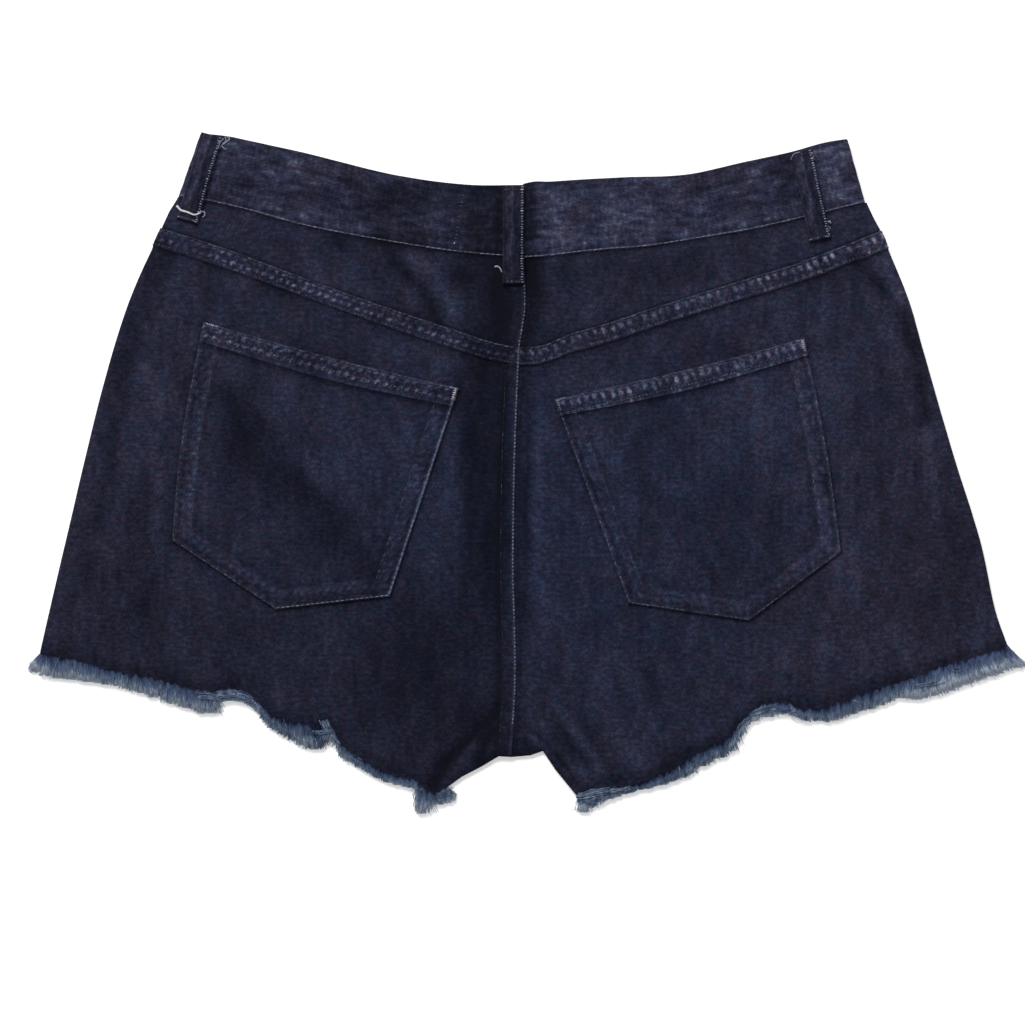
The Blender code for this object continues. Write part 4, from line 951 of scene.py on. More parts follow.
def back_pocket(side, cloth, material):
    """A pointed patch pocket with a puckered hem, its turned edges pressed to the leg."""
    shape = POCKET[side]
    foot_points = [shape["outer_foot"], shape["point"], shape["inner_foot"]]
    corner = fractions_of(foot_points)[1]
    columns = finer([0.0, 0.008, 0.03, 0.1, corner, 0.9, 0.97, 0.992, 1.0],
                    cloth.grid / MM / POCKET_MEAN_WIDTH)
    hem, hem_row = shape["hem"], shape["hem_row"]
    rows_mm = stepped([(0, 0.6, 0.3), (0.6, hem - 0.3, 0.95), (hem - 0.3, hem + 0.3, 0.3),
                       (hem + 0.3, 16, 1.2), (16, 110, 2.4), (110, POCKET_DEPTH - 1, 1.3),
                       (POCKET_DEPTH - 1, POCKET_DEPTH, 0.5)])
    rows = rows_mm / POCKET_DEPTH
    top = straight_curve([shape["outer_top"], shape["inner_top"]], columns)
    top[:, 1] -= POCKET_TOP_SAG * np.sin(np.pi * columns)
    foot = straight_curve(foot_points, columns)
    outer = pocket_side(shape, rows)
    inner = straight_curve([shape["inner_top"], shape["inner_foot"]], rows)
    plan = patch(top, foot, outer, inner, columns, rows)
    if side == "right":
        plan = plan[:, ::-1]
    x, y = plan[..., 0], plan[..., 1]
    rim = [plan[:, 0], plan[-1], plan[:, -1]]
    from_edge = np.minimum.reduce([distance_to(line[::3].tolist() + [line[-1].tolist()], x, y)
                                   for line in rim])
    down = rows_mm[:, None] + 0 * x
    seat = POCKET_SEAT * (0.12 + 0.88 * plateau(-np.minimum(from_edge, down), -3.0, -0.2))
    pillow = 0.45 * plateau(-np.minimum(from_edge, down), -26.0, -6.0)
    under = lay_on(plan, back_height)
    under[..., 2] += CLOTH + seat + pillow
    look = POCKET_ROPE[side]
    beside = x - look["lean"] * down
    rope = puckers(beside, down / FELL_DEPTH, cloth.pucker_pitch / MM * look["pitch"],
                   look["seed"], look["stagger"])
    rope = rope * ledge(down, 1.8, 8.8, 1.6)
    turned = ledge(from_edge, 0.0, 10.5, 1.2) * plateau(-down, -14.0, -11.0)
    grooves = bump(from_edge - 1.7, 0.8) + 0.8 * bump(from_edge - 11.2, 0.9)
    hem_grooves = bump(down - 1.3, 0.8) + bump(down - hem_row, 0.8)
    relief = cloth.fell_rise / MM * ledge(down, 0.35, hem, 0.5)
    relief = relief + cloth.pucker_rise / MM * rope - GROOVE * hem_grooves - 0.18 * grooves
    relief = relief + 0.18 * turned
    to_inner = distance_to([shape["inner_top"], shape["inner_foot"]], x, y)
    # Rubbed paler at the puckers and edges, with painted shade in the grooves beside the rows and under
    # the hem's fold
    wear_and_shade = 0.16 * rope + seam_wear_and_shade("pocket_top", down) + seam_wear_and_shade("pocket_fold", down - hem)
    wear_and_shade = wear_and_shade + seam_wear_and_shade("pocket_edge", from_edge) - 0.04 * ledge(down, 0.35, hem, 0.5)
    wear_and_shade = wear_and_shade + 0.10 * bump(from_edge - 9.8, 1.6) * (to_inner > 16) + fade_and_shade_at(x, y)
    if side == "left":
        wear_and_shade = wear_and_shade + 0.34 * bump(to_inner - 1.0, 1.2)
    band = 0.65 * ledge(down, 2.2, hem_row + 0.4, 0.9) + 0.35 * ledge(down, 2.2, hem - 0.6, 0.9)
    pucker = np.maximum(band, 0.35 * ledge(from_edge, 1.0, 11.0, 1.0))
    seam = band_cells(side, beside, down)
    thick = (cloth.wall / MM + relief) * (0.45 + 0.55 * rounded(from_edge + 0.02, 0.9))
    over = thickened(under, thick)
    item = closed_sheet("denim_pocket_" + side, under, over, plan, wear_and_shade, material, seam, pucker)
    return item, plan_area(plan)


# ---------------------------------------------------------------- waistband and loops

def drawn_in(knots, inset):
    """Pull the last point of a curve back along the curve's end."""
    last = np.array(knots[-1], float)
    before = np.array(knots[-2], float)
    return list(knots[:-1]) + [tuple(last + unit(before - last) * inset)]


def waistband(side, cloth, material):
    """A waistband half: along the back, round the side fold, and along the front to the fly."""
    rows_share = stepped([(0, 0.05, 0.008), (0.05, 0.95, 0.034), (0.95, 1.0, 0.008)])
    rows = rows_share[:, None, None]
    top = drawn_in(WAIST_TOP[side], BAND_INSET[side])
    foot = drawn_in(BAND_FOOT[side], BAND_INSET[side])
    spots = np.linspace(0, 1, BAND_SPOTS)
    back_top = smooth_curve(top, spots)
    back_foot = smooth_curve(foot, spots)
    if side == "right":
        # The top edge stands a little higher beside the centre
        back_top[:, 1] += 1.2 * bump(spots * BAND_RUN - 6, 7.0)
    back = lay_on((1 - rows) * back_top[None] + rows * back_foot[None], back_height)
    back[..., 2] += BAND_WALL / 2
    back[:, 0, 0] += -SEAM_GAP if side == "left" else SEAM_GAP
    front_spots = np.linspace(0, 1, 96)
    front_top = smooth_curve([top[-1]] + FRONT_WAIST[side][1:], front_spots)
    front_foot = smooth_curve([foot[-1]] + FRONT_FOOT[side][1:], front_spots)
    lap = np.linspace(0, LAP if side == "left" else -UNDERLAP, 14)[1:, None]
    lap = np.concatenate([lap, LAP_SLOPE * np.abs(lap)], axis=1)
    front_top = np.concatenate([front_top, front_top[-1] + lap])
    front_foot = np.concatenate([front_foot, front_foot[-1] + lap])
    front = lay_on((1 - rows) * front_top[None] + rows * front_foot[None], front_height)
    front[..., 2] += BAND_WALL / 2
    if side == "right":
        lap_edge = CENTRE_FRONT[0][0] + LAP
        tucked = plateau(front[..., 0], lap_edge + 1, lap_edge + UNDERLAP_RAMP)
        front[..., 2] += (BAND_WALL + 0.5) * tucked
    turns = []
    outward = unit((back[:, -1] - back[:, -2]) * (1, 1, 0))
    middle = (back[:, -1, 2] + front[:, 0, 2]) / 2
    radius = (back[:, -1, 2] - front[:, 0, 2]) / 2
    for angle in np.radians(np.linspace(75, -75, 9)):
        turn = back[:, -1] + outward * (radius * np.cos(angle))[:, None]
        turn[:, 2] = middle + radius * np.sin(angle)
        turns.append(turn[:, None])
    middle_face = np.concatenate([back] + turns + [front], axis=1)
    columns = middle_face.shape[1]
    along = run_along(middle_face[len(rows) // 2])
    width = np.linalg.norm(middle_face[0] - middle_face[-1], axis=1)
    grain = np.stack([rows_share[:, None] * width[None, :],
                      np.broadcast_to(along, (len(rows), columns))], axis=2)
    down = grain[..., 0]
    from_foot = width[None, :] - down
    x, y = middle_face[..., 0], middle_face[..., 1]
    seen = (np.arange(columns) < BAND_SPOTS + len(turns) // 2)[None, :]
    rope = puckers(grain[..., 1], down / BAND_DEPTH, cloth.pucker_pitch / MM * 1.3, 51, 0.0)
    edge_rope = rope * bump(from_foot - 4.0, 3.0)
    relief = 0.14 * edge_rope - 0.2 * bump(from_foot - 1.6, 0.9)
    relief = relief + 0.12 * ripple(grain[..., 1], down, 9, 53, (1.8, 0.8))
    # Painted shade in the groove just above the foot's row; the top edge is darker too
    wear_and_shade = 0.14 * edge_rope + seam_wear_and_shade("band_foot", from_foot) - 0.14 * bump(down, 1.2)
    wear_and_shade = wear_and_shade + 0.07 * rope * bump(down - BAND_DEPTH / 2, 16) + fade_and_shade_at(x, y) * seen
    if side == "left":
        middle_face, grain = middle_face[:, ::-1], grain[:, ::-1]
        relief, wear_and_shade = relief[:, ::-1], wear_and_shade[:, ::-1]
        from_foot, down = from_foot[:, ::-1], down[:, ::-1]
    share_of_edge = 0.35 + 0.65 * rounded(np.minimum(from_foot, down), 1.1)
    half = grid_normals(middle_face) * (BAND_WALL / 2 * share_of_edge)[..., None]
    under = middle_face - half
    over = middle_face + half * (1 + relief)[..., None]
    over[..., 2] = np.maximum(over[..., 2], 0.0)
    item = closed_sheet("denim_waistband_" + side, under, over, grain, wear_and_shade, material)
    return item, width.mean() * MM, along[-1] * MM


def on_back(x, y, side):
    """Outer face of the back at a place: the waistband above its foot, the yoke below it."""
    line = smooth_curve(BAND_FOOT[side], np.linspace(0, 1, 60))
    order = np.argsort(line[:, 0])
    foot = np.interp(x, line[order, 0], line[order, 1])
    past = plateau(foot - y, -0.4, BAND_LIP)
    return back_height(x, y) + CLOTH + (BAND_WALL - CLOTH) * past


def strap_axes(loop):
    """The ends of a belt loop in plan, its length, and the directions down and across it."""
    top, foot = np.array(loop["top"], float), np.array(loop["foot"], float)
    down = unit(foot - top)
    return top, foot, np.linalg.norm(foot - top), down, left_of(down)


def strap_sheet(name, under, over, columns, down, wear_and_shade, material):
    """A belt loop as a closed sheet, its grain along the strap."""
    grain = np.stack(np.broadcast_arrays(columns[..., 0], down[:, None]), axis=2)
    return closed_sheet("denim_" + name, under, over, grain, wear_and_shade, material)


def belt_loop(name, cloth, material):
    """A sewn-down strap over the waistband, its edges turned under and its middle arched."""
    loop = LOOPS[name]
    top, foot, run, _, across = strap_axes(loop)
    places = finer(LOOP_PLACES, 0.8 / run)
    side_places = stepped([(-0.5, -0.42, 0.02), (-0.42, 0.42, 0.06), (0.42, 0.5, 0.02)])
    columns = side_places[None, :, None] * LOOP_WIDTH
    waist = 1 - 0.05 * np.sin(np.pi * places)[:, None, None]
    plan = top + (foot - top) * places[:, None, None] + across * columns * waist
    under = lay_on(plan, lambda x, y: on_back(x, y, loop["side"]))
    arch = LOOP_ARCH * np.sin(np.pi * np.clip(places / LOOP_ARCH_SHARE, 0, 1))
    under[..., 2] += LOOP_SEAT + arch[:, None]
    dip = int(np.argmin(np.abs(places - LOOP_DIP)))
    sloped = under[dip, :, 2] - LOOP_SLOPE * (places[dip:, None] - LOOP_DIP) * run
    under[dip:, :, 2] = np.maximum(under[dip:, :, 2], sloped)
    if loop["over_fell"]:
        under[..., 2] += FELL_RISE * plateau(-places, -0.76, -0.62)[:, None]
    edge = (0.5 - np.abs(side_places))[None, :] * LOOP_WIDTH + 0 * under[..., 0]
    end = np.minimum(places, 1 - places)[:, None] * run + 0 * under[..., 0]
    wall = cloth.loop_wall / MM
    relief = -0.2 * bump(edge - 1.6, 0.7) + 0.15 * bump(edge - LOOP_WIDTH / 2, 3.0)
    relief = relief + 0.10 * ripple(plan[..., 0], plan[..., 1], 5, 71) * plateau(-end, -4, 0)
    thick = wall * (0.35 + 0.65 * rounded(np.minimum(edge, end + 0.25), 1.0)) + relief
    wear_and_shade = 0.14 * bump(edge - 0.6, 0.7) * (side_places > 0)[None, :] - 0.15
    wear_and_shade = wear_and_shade + 0.4 * fade_and_shade_at(plan[..., 0], plan[..., 1])
    over = thickened(under, thick)
    return strap_sheet(name, under, over, columns, places * run, wear_and_shade, material), run * MM


def front_belt_loop(name, material):
    """A flat strap under the front of the waistband, on the surface."""
    top, foot, run, _, across = strap_axes(FRONT_LOOPS[name])
    places = np.linspace(0, 1, 40)
    side_places = stepped([(-0.5, -0.42, 0.02), (-0.42, 0.42, 0.07), (0.42, 0.5, 0.02)])
    columns = side_places[None, :, None] * LOOP_WIDTH
    plan = top + (foot - top) * places[:, None, None] + across * columns
    edge = (0.5 - np.abs(side_places))[None, :] * LOOP_WIDTH + 0 * plan[..., 0]
    round_share = rounded(edge, 1.0)
    height = 0.25 * bump(edge - 1.6, 0.7) + 0.3 * (1 - round_share)
    under = np.concatenate([plan, height[..., None]], axis=2)
    over = thickened(under, FRONT_LOOP_WALL - 0.25 - 0.5 * (1 - round_share))
    wear_and_shade = 0.2 * bump(edge - 0.6, 0.7)
    return strap_sheet(name, under, over, columns, places * run, wear_and_shade, material), run * MM


# ---------------------------------------------------------------- cloth of the front

def front_leg(side, cloth, material):
    """One front leg, flat on the surface but for the lift over the button and a loop."""
    knots = joined_foot(side, FRONT_HEM[side], FRONT_INSEAM[side])
    start = knots[0, 0]
    span = knots[-1, 0] - start
    columns = finer((knots[:, 0] - start) / span, 3.2 / span)
    rows = np.linspace(0, 1, 80)
    x = start + columns * span
    foot = np.stack([x, np.interp(x, knots[:, 0], knots[:, 1])], axis=1)
    centre = smooth_curve(CENTRE_FRONT, rows)
    centre[:, 0] += -SEAM_GAP if side == "left" else SEAM_GAP
    hem_end = FRONT_HEM[side][0 if side == "left" else -1]
    outer = smooth_curve(SIDE[side][2:-1] + [hem_end], rows)
    plan = leg_plan(side, FRONT_FOOT[side][::-1], foot, centre, outer, columns, rows)
    x, y = plan[..., 0], plan[..., 1]
    groove = bump(distance_to(smooth_curve(CENTRE_FRONT, np.linspace(0, 1, 20)), x, y) - 1.8, 0.9)
    if side == "left":
        away = distance_to(smooth_curve(FLY_CURVE, np.linspace(0, 1, 24)), x, y)
        groove = groove + bump(away, 0.9) + bump(away - FLY_ROWS_APART, 0.9) * (x < FLY["inner"])
    from_hem = (1 - rows)[:, None] * FRONT_LENGTH + 0 * x
    under = lay_on(plan, front_height)
    over = thickened(under, cloth.wall / MM)
    under[..., 2] += GROOVE * np.clip(groove, 0, 1)
    wear_and_shade = 0.2 * np.clip(groove, 0, 1) + 0.4 * bump(from_hem, 2.0) - 0.06
    item = closed_sheet("denim_front_leg_" + side, under, over, plan, wear_and_shade, material)
    return item, plan_area(plan)


def fly_shield(cloth, material):
    """The strip behind the fly, inside the fronts."""
    columns = np.linspace(FLY["inner"], FLY["outer"], 16)
    rows = np.linspace(FLY["top"], FLY["foot"], 44)
    plan = np.stack(np.meshgrid(columns, rows), axis=2)
    under = lay_on(plan, front_height)
    under[..., 2] += CLOTH + GAP * 0.5
    over = thickened(under, cloth.wall / MM)
    item = closed_sheet("denim_fly_shield", under, over, plan, 0 * plan[..., 0], material)
    return item, plan_area(plan)


# ---------------------------------------------------------------- threads

def cloth_tree(names):
    """A search tree of the finished cloth, to find the face that a stitch lies on."""
    points = []
    faces = []
    for name in names:
        mesh = bpy.data.objects[name].data
        start = len(points)
        own = np.empty(len(mesh.vertices) * 3)
        mesh.vertices.foreach_get("co", own)
        points += (own.reshape(-1, 3) / MM).tolist()
        faces += [[start + v for v in face.vertices] for face in mesh.polygons]
    return BVHTree.FromPolygons(points, faces)


def face_height(tree, x, y, from_below=False):
    """Height of the first cloth face that a plumb line meets at a place, or None."""
    start = Vector((x, y, -20.0 if from_below else 60.0))
    hit = tree.ray_cast(start, Vector((0, 0, 1.0 if from_below else -1.0)))[0]
    return None if hit is None else hit.z


def seam_line(points, inside, count=120):
    """A line beside a smooth curve, that far to its left in plan."""
    line = smooth_curve(points, np.linspace(0, 1, count))
    return line + inside * left_of(unit(np.gradient(line, axis=0)))


def pocket_line(shape, inside):
    """The path of a row of stitches round a pocket, that far inside its edge."""
    knots = np.array(pocket_path(shape, 40))
    aside = left_of(unit(np.diff(knots, axis=0)))
    middle = (knots[1:] + knots[:-1]) / 2
    if np.sum(aside * (np.mean(knots, axis=0) - middle)) < 0:
        aside = -aside
    turn = aside[[0, *range(len(aside))]] + aside[[*range(len(aside)), -1]]
    return knots + turn * inside * 2 / np.sum(turn * turn, axis=1, keepdims=True)


def one_stitch():
    """A single stitch of unit length, shaped from a five-sided bar, as points and faces."""
    bpy.ops.object.select_all(action="DESELECT")
    bpy.ops.mesh.primitive_cylinder_add(vertices=5, radius=0.5, depth=0.5,
                                        rotation=(0, math.pi / 2, 0))
    bar = bpy.context.active_object
    bpy.ops.object.transform_apply(location=True, rotation=True, scale=True)
    for direction in (1.0, -1.0):
        bpy.ops.object.mode_set(mode="EDIT")
        bpy.ops.mesh.select_all(action="DESELECT")
        bpy.ops.object.mode_set(mode="OBJECT")
        for face in bar.data.polygons:
            face.select = face.normal.x * direction > 0.9
        bpy.ops.object.mode_set(mode="EDIT")
        bpy.ops.mesh.extrude_region_move(TRANSFORM_OT_translate={"value": (0.25 * direction, 0, 0)})
        bpy.ops.transform.resize(value=(1.0, 0.5, 0.35))
        bpy.ops.object.mode_set(mode="OBJECT")
    bpy.ops.object.mode_set(mode="EDIT")
    bpy.ops.mesh.select_all(action="SELECT")
    bpy.ops.mesh.normals_make_consistent(inside=False)
    bpy.ops.object.mode_set(mode="OBJECT")
    points = np.array([tuple(v.co) for v in bar.data.vertices])
    faces = [list(face.vertices) for face in bar.data.polygons]
    bpy.data.objects.remove(bar, do_unlink=True)
    return points, faces


class Needlework:
    """Collects stitches that lie on the cloth, and makes one mesh of them."""

    def __init__(self, tree, from_below=False):
        self.tree = tree
        self.below = from_below
        self.shape, self.shape_faces = one_stitch()
        self.points = []
        self.faces = []
        self.tone = []
        self.total = 0

    def lay(self, start, end, width, tone):
        """One stitch between two places in plan, bent to the cloth under its ends and middle."""
        start = np.asarray(start[:2], float)
        end = np.asarray(end[:2], float)
        middle = (start + end) / 2
        heights = [face_height(self.tree, *place, self.below) for place in (start, middle, end)]
        if None in heights:
            return
        low, centre, high = heights
        along = end - start
        size = np.linalg.norm(along)
        side = left_of(along) / size
        u, v, w = self.shape.T
        t = u + 0.5
        ground = low * (1 - t) * (1 - 2 * t) + centre * 4 * t * (1 - t) + high * t * (2 * t - 1)
        plan = start[None] + along[None] * t[:, None] + side[None] * (v * width)[:, None]
        proud = width * (0.62 * w + 0.34 - 0.9 * (2 * u) ** 4 * 0.45)
        z = ground - proud * 0.8 + 0.28 * width if self.below else ground + proud
        if self.below:
            z = np.maximum(z, 0.0)
        self.points.append(np.column_stack([plan, z]))
        self.faces += [[self.total + k for k in face] for face in self.shape_faces]
        self.tone += [tone] * len(u)
        self.total += len(u)

    def row(self, path, thread, tone, rng, width_share=1.0, stitch_share=1.0, pause_share=1.0):
        """Topstitching along a path, each stitch a touch uneven."""
        knots = np.asarray(path, float)[:, :2]
        total = run_along(knots)[-1]
        stitch = thread.stitch / MM * stitch_share
        pitch = stitch + thread.pause / MM * pause_share
        count = max(1, int(total / pitch))
        starts = (np.arange(count) + 0.5) * total / count - stitch / 2
        width = thread.width / MM * width_share
        for begin in starts:
            ends = straight_curve(knots, [begin / total, (begin + stitch) / total])
            ends = ends + rng.normal(0, 0.06, (2, 2))
            self.lay(ends[0], ends[1], width * rng.uniform(0.85, 1.12), tone + rng.normal(0, 0.06))

    def ladder(self, path, rung, pitch, width, tones, rng):
        """Short stitches across a path, their tone going from the first to the second."""
        knots = np.asarray(path, float)[:, :2]
        total = run_along(knots)[-1]
        places = np.linspace(0, 1, max(2, int(total / pitch)))
        steps = straight_curve(knots, places)
        aside = left_of(unit(np.gradient(steps, axis=0)))
        for place, way, across in zip(steps, places, aside):
            half = across * rung / 2 * rng.uniform(0.75, 1.15)
            middle = place + rng.normal(0, 0.1, 2)
            tone = tones[0] * (1 - way) + tones[1] * way + rng.normal(0, 0.09)
            self.lay(middle - half, middle + half, width * rng.uniform(0.85, 1.15), tone)

    def bartack(self, start, end, width, thread, tone, rng):
        """A dense zigzag of short stitches between two places."""
        start = np.asarray(start, float)
        end = np.asarray(end, float)
        along = end - start
        size = np.linalg.norm(along)
        side = left_of(along) / size
        count = max(3, int(size / (thread.tack / MM)))
        for k in range(count):
            near = start + along * (k / count)
            far = start + along * ((k + 1) / count)
            swing = side * width / 2 * (1 if k % 2 else -1) * rng.uniform(0.85, 1.1)
            self.lay(near + swing, far - swing, thread.width / MM * 0.8, tone + rng.normal(0, 0.08))

    def finish(self, name, material):
        """The collected stitches as one object."""
        return mesh_object(name, np.concatenate(self.points), self.faces, material,
                           {"tone": self.tone})


def tubes(paths, radii, sides=3):
    """Points and faces of many thin threads at once, all with the same number of stations."""
    count, stations = radii.shape
    ahead = np.gradient(paths, axis=1)
    ahead /= np.maximum(np.linalg.norm(ahead, axis=2, keepdims=True), 1e-9)
    side = np.cross(ahead, np.array([0.0, 0.0, 1.0]))
    side /= np.maximum(np.linalg.norm(side, axis=2, keepdims=True), 1e-6)
    up = np.cross(side, ahead)
    angle = np.arange(sides) * math.tau / sides
    ring = (side[:, :, None] * np.cos(angle)[None, None, :, None]
            + up[:, :, None] * np.sin(angle)[None, None, :, None])
    points = paths[:, :, None] + ring * radii[:, :, None, None]
    thread, station, turn = np.meshgrid(np.arange(count), np.arange(stations - 1),
                                        np.arange(sides), indexing="ij")
    after = (turn + 1) % sides
    base = thread * stations * sides + station * sides
    walls = np.stack([base + turn, base + after, base + sides + after, base + sides + turn],
                     axis=3).reshape(-1, 4)
    first = (np.arange(count) * stations * sides)[:, None]
    root = first + np.arange(sides)[None, ::-1]
    tip = first + (stations - 1) * sides + np.arange(sides)[None]
    return points.reshape(-1, 3), walls[:, ::-1].tolist() + root[:, ::-1].tolist() + tip[:, ::-1].tolist()


def hanging_threads(side, layer, fray, rng):
    """Frayed warp along one cut hem: paths, radii, tone, and how far down each station is."""
    if layer == "back":
        line = foot_line(side, np.linspace(HEM[side][0][0], HEM[side][-1][0], 700))
    else:
        plain = np.array(FRONT_HEM[side], float)
        hang = np.full(len(plain), fray.front_hang / MM)
        line = walk(np.column_stack([plain, hang]), 0.5)
    chord = run_along(line[:, :2])
    pitch = fray.pitch / MM * (1.0 if layer == "back" else FRONT_PITCH)
    count = int(chord[-1] / pitch)
    place = np.sort(rng.uniform(0, chord[-1], count))
    fan = np.zeros(count)
    if layer == "back":
        # A thick corner of threads fans out past the side seam
        more = rng.uniform(0, 1.6, CORNER_THREADS)
        place = np.concatenate([place, more if side == "left" else chord[-1] - more])
        fan = np.concatenate([fan, rng.uniform(0, 1, len(more))])
        count = len(place)
    root = np.stack([np.interp(place, chord, column) for column in line.T], axis=1)
    reach = root[:, 2] * (1 + 0.045 * ripple(place, 0 * place, 7, 81))
    lean = np.interp(root[:, 0], *np.array(LEAN[side]).T)
    corner = CORNER_FAN[side]
    lean = np.where(fan > 0, np.interp(fan, (0, 1), corner["lean"]), lean)
    if "reach" in corner:
        reach = np.where(fan > 0, np.interp(fan, (0, 1), corner["reach"]), reach)
    part = rng.triangular(0.965, 0.99, 1.005, count)
    short = rng.uniform(0, 1, count) < FRAY_SHORT
    part = np.where(short, part * rng.uniform(0.4, 0.98, count), part)
    hang = reach * part
    tuft = fray.tuft / MM
    centre = (np.floor(place / tuft) + 0.5) * tuft
    stray = rng.uniform(0, 1, count) < FRAY_STRAY
    lean = lean + 0.08 * ripple(place, 0 * place, 13, 85) + 0.03 * ripple(place, 0 * place, 4, 89)
    lean = lean + rng.normal(0, 1, count) * np.where(stray, *FRAY_LEAN_SPREAD)
    pull = (centre - place) * fray.gather * np.where(stray, 0.0, 1.0)
    inside = rng.uniform(0.2, 1.6, count)
    if layer == "back":
        floor = hem_height(root[:, 0], root[:, 1], 0.0)
        top = floor + CLOTH * rng.uniform(0.0, 0.6, count)
        rest = np.maximum(0.5, floor - 0.4) * rng.uniform(0.3, 1.3, count)
    else:
        top = CLOTH * rng.uniform(0.2, 0.8, count)
        rest = rng.uniform(0.25, 0.8, count)
    along = np.linspace(0, 1, FRAY_STATIONS)
    paths = np.zeros((count, FRAY_STATIONS, 3))
    curl = rng.normal(0, FRAY_CURL, count)
    for k, share_down in enumerate(along):
        drop = hang * share_down
        sway = np.sin(share_down * 6 + rng.uniform(0, 6.28, count)) * min(1.0, 3 * share_down)
        paths[:, k, 0] = root[:, 0] + lean * drop + pull * share_down ** 1.4
        paths[:, k, 0] += curl * share_down ** 2 + 0.3 * sway
        paths[:, k, 1] = root[:, 1] + inside * (1 - share_down) - drop
        sag = 1 - (1 - share_down) ** 1.6
        wave = 0.25 * share_down * np.sin(share_down * 5 + curl * 9)
        paths[:, k, 2] = top * (1 - sag) + rest * sag + wave
    paths[..., 2] = np.maximum(paths[..., 2], FRAY_LEAST_HEIGHT)
    radii = np.linspace(0.9, 1.0, FRAY_STATIONS)[None] * rng.uniform(0.75, 1.2, count)[:, None]
    radii = radii * fray.width / MM / 2
    tone = rng.normal(0.0, 0.03, count) + 0.05 * ripple(place, 0 * place, 16, 87)
    shade = sum(amount * bump(root[:, 0] - x, spread) for x, spread, amount in FRAY_TONES)
    tone = tone + 0.5 * np.minimum(shade, 0)
    down = along * (part * (1 + np.maximum(shade, 0)))[:, None]
    down = down + (1 - along) * np.minimum(shade, 0)[:, None]
    return paths, radii, tone, down


def weft_threads(side, rng):
    """Loose weft that sticks out level at the notches of a cut hem."""
    paths = []
    for x, y, run_x, run_y, count, spread in WEFT_BUNDLES:
        if (x < 0) != (side == "left"):
            continue
        for _ in range(count * WEFT_SHARE):
            start = np.array([x, y]) + rng.uniform(-0.6, 0.6, 2) * (4.0, spread)
            reach = np.array([run_x, run_y]) * rng.uniform(0.55, 1.1)
            bow = rng.normal(0, 0.9)
            height = rng.uniform(1.8, 3.2)
            t = np.linspace(0, 1, FRAY_STATIONS)
            wave = bow * np.sin(math.pi * t) + 0.25 * np.sin(9 * t + bow * 5)
            paths.append(np.column_stack([start[0] + reach[0] * t, start[1] + reach[1] * t + wave,
                                          height + 0.4 * np.sin(3 * t + bow)]))
    paths = np.array(paths)
    radii = np.linspace(1.0, 0.7, FRAY_STATIONS) * rng.uniform(0.13, 0.24, len(paths))[:, None]
    return paths, radii, rng.uniform(0.32, 0.86, len(paths)), np.zeros(radii.shape)


def fray_piece(side, layer, fray, material):
    """All frayed threads of one cut hem as one object."""
    rng = np.random.default_rng(FRAY_SEEDS[layer][side])
    paths, radii, tone, down = hanging_threads(side, layer, fray, rng)
    if layer == "back":
        weft = weft_threads(side, rng)
        paths, radii, tone, down = [np.concatenate(pair) for pair in
                                    zip((paths, radii, tone, down), weft)]
    points, faces = tubes(paths, radii)
    return mesh_object("fray_threads_" + layer + "_" + side, points, faces, material,
                       {"down": np.repeat(down.ravel(), 3),
                        "tone": np.repeat(tone, radii.shape[1] * 3)})


# ---------------------------------------------------------------- finishes

def linear(hex_colour):
    """An sRGB hex colour as the linear values that a shader takes."""
    srgb = [int(hex_colour[k:k + 2], 16) / 255 for k in (1, 3, 5)]
    return tuple(v / 12.92 if v <= 0.04045 else ((v + 0.055) / 1.055) ** 2.4 for v in srgb) + (1.0,)


def add(tree, kind, settings=None, sockets=None):
    """Add one node with its settings, and link or fill its sockets."""
    made = tree.nodes.new(kind)
    for key, value in (settings or {}).items():
        setattr(made, key, value)
    for key, value in (sockets or {}).items():
        if isinstance(value, bpy.types.NodeSocket):
            tree.links.new(value, made.inputs[key])
        else:
            made.inputs[key].default_value = value
    return made


def new_finish(name):
    """An empty material with its tree and its shader."""
    material = bpy.data.materials.new(name)
    material.use_nodes = True
    return material, material.node_tree, material.node_tree.nodes["Principled BSDF"]


def point_value(tree, name):
    """A named value that a mesh keeps on its points."""
    return add(tree, "ShaderNodeAttribute", {"attribute_name": name}).outputs[2]


def compute(tree, operation, a, b):
    """The result of an operation on two sockets or numbers."""
    return add(tree, "ShaderNodeMath", {"operation": operation}, {0: a, 1: b}).outputs[0]


def colour_ramp(tree, amount, stops):
    """The colour that a ramp of (position, hex colour) stops gives for an amount."""
    ramp = add(tree, "ShaderNodeValToRGB", {}, {0: amount})
    elements = ramp.color_ramp.elements
    for element, (position, colour) in zip(elements, (stops[0], stops[-1])):
        element.position, element.color = position, linear(colour)
    for position, colour in stops[1:-1]:
        elements.new(position).color = linear(colour)
    return ramp.outputs[0]


def set_finish(shader, numbers):
    """Set uniform numbers and colours on the shader's own sockets."""
    for key, value in numbers.items():
        shader.inputs[key].default_value = value


def add_relief(tree, shader, height, distance, strength):
    """Give the shader a fine relief, its distance in metres."""
    relief = add(tree, "ShaderNodeBump", {}, {"Height": height, "Distance": distance,
                                              "Strength": strength})
    tree.links.new(relief.outputs[0], shader.inputs["Normal"])


def weighted_sum(tree, terms, start):
    """Add up (socket, centre, weight) terms on top of a start value."""
    total = start
    for socket, centre, weight in terms:
        part = add(tree, "ShaderNodeMath", {"operation": "MULTIPLY_ADD"},
                   {0: socket, 1: weight, 2: -centre * weight})
        total = compute(tree, "ADD", total, part.outputs[0])
    return total


def rubbed_denim(name, colours):
    """The waistband's denim: the same cloth, rubbed paler by a belt, with longer slubs."""
    return indigo_denim(name, colours, 0.10)


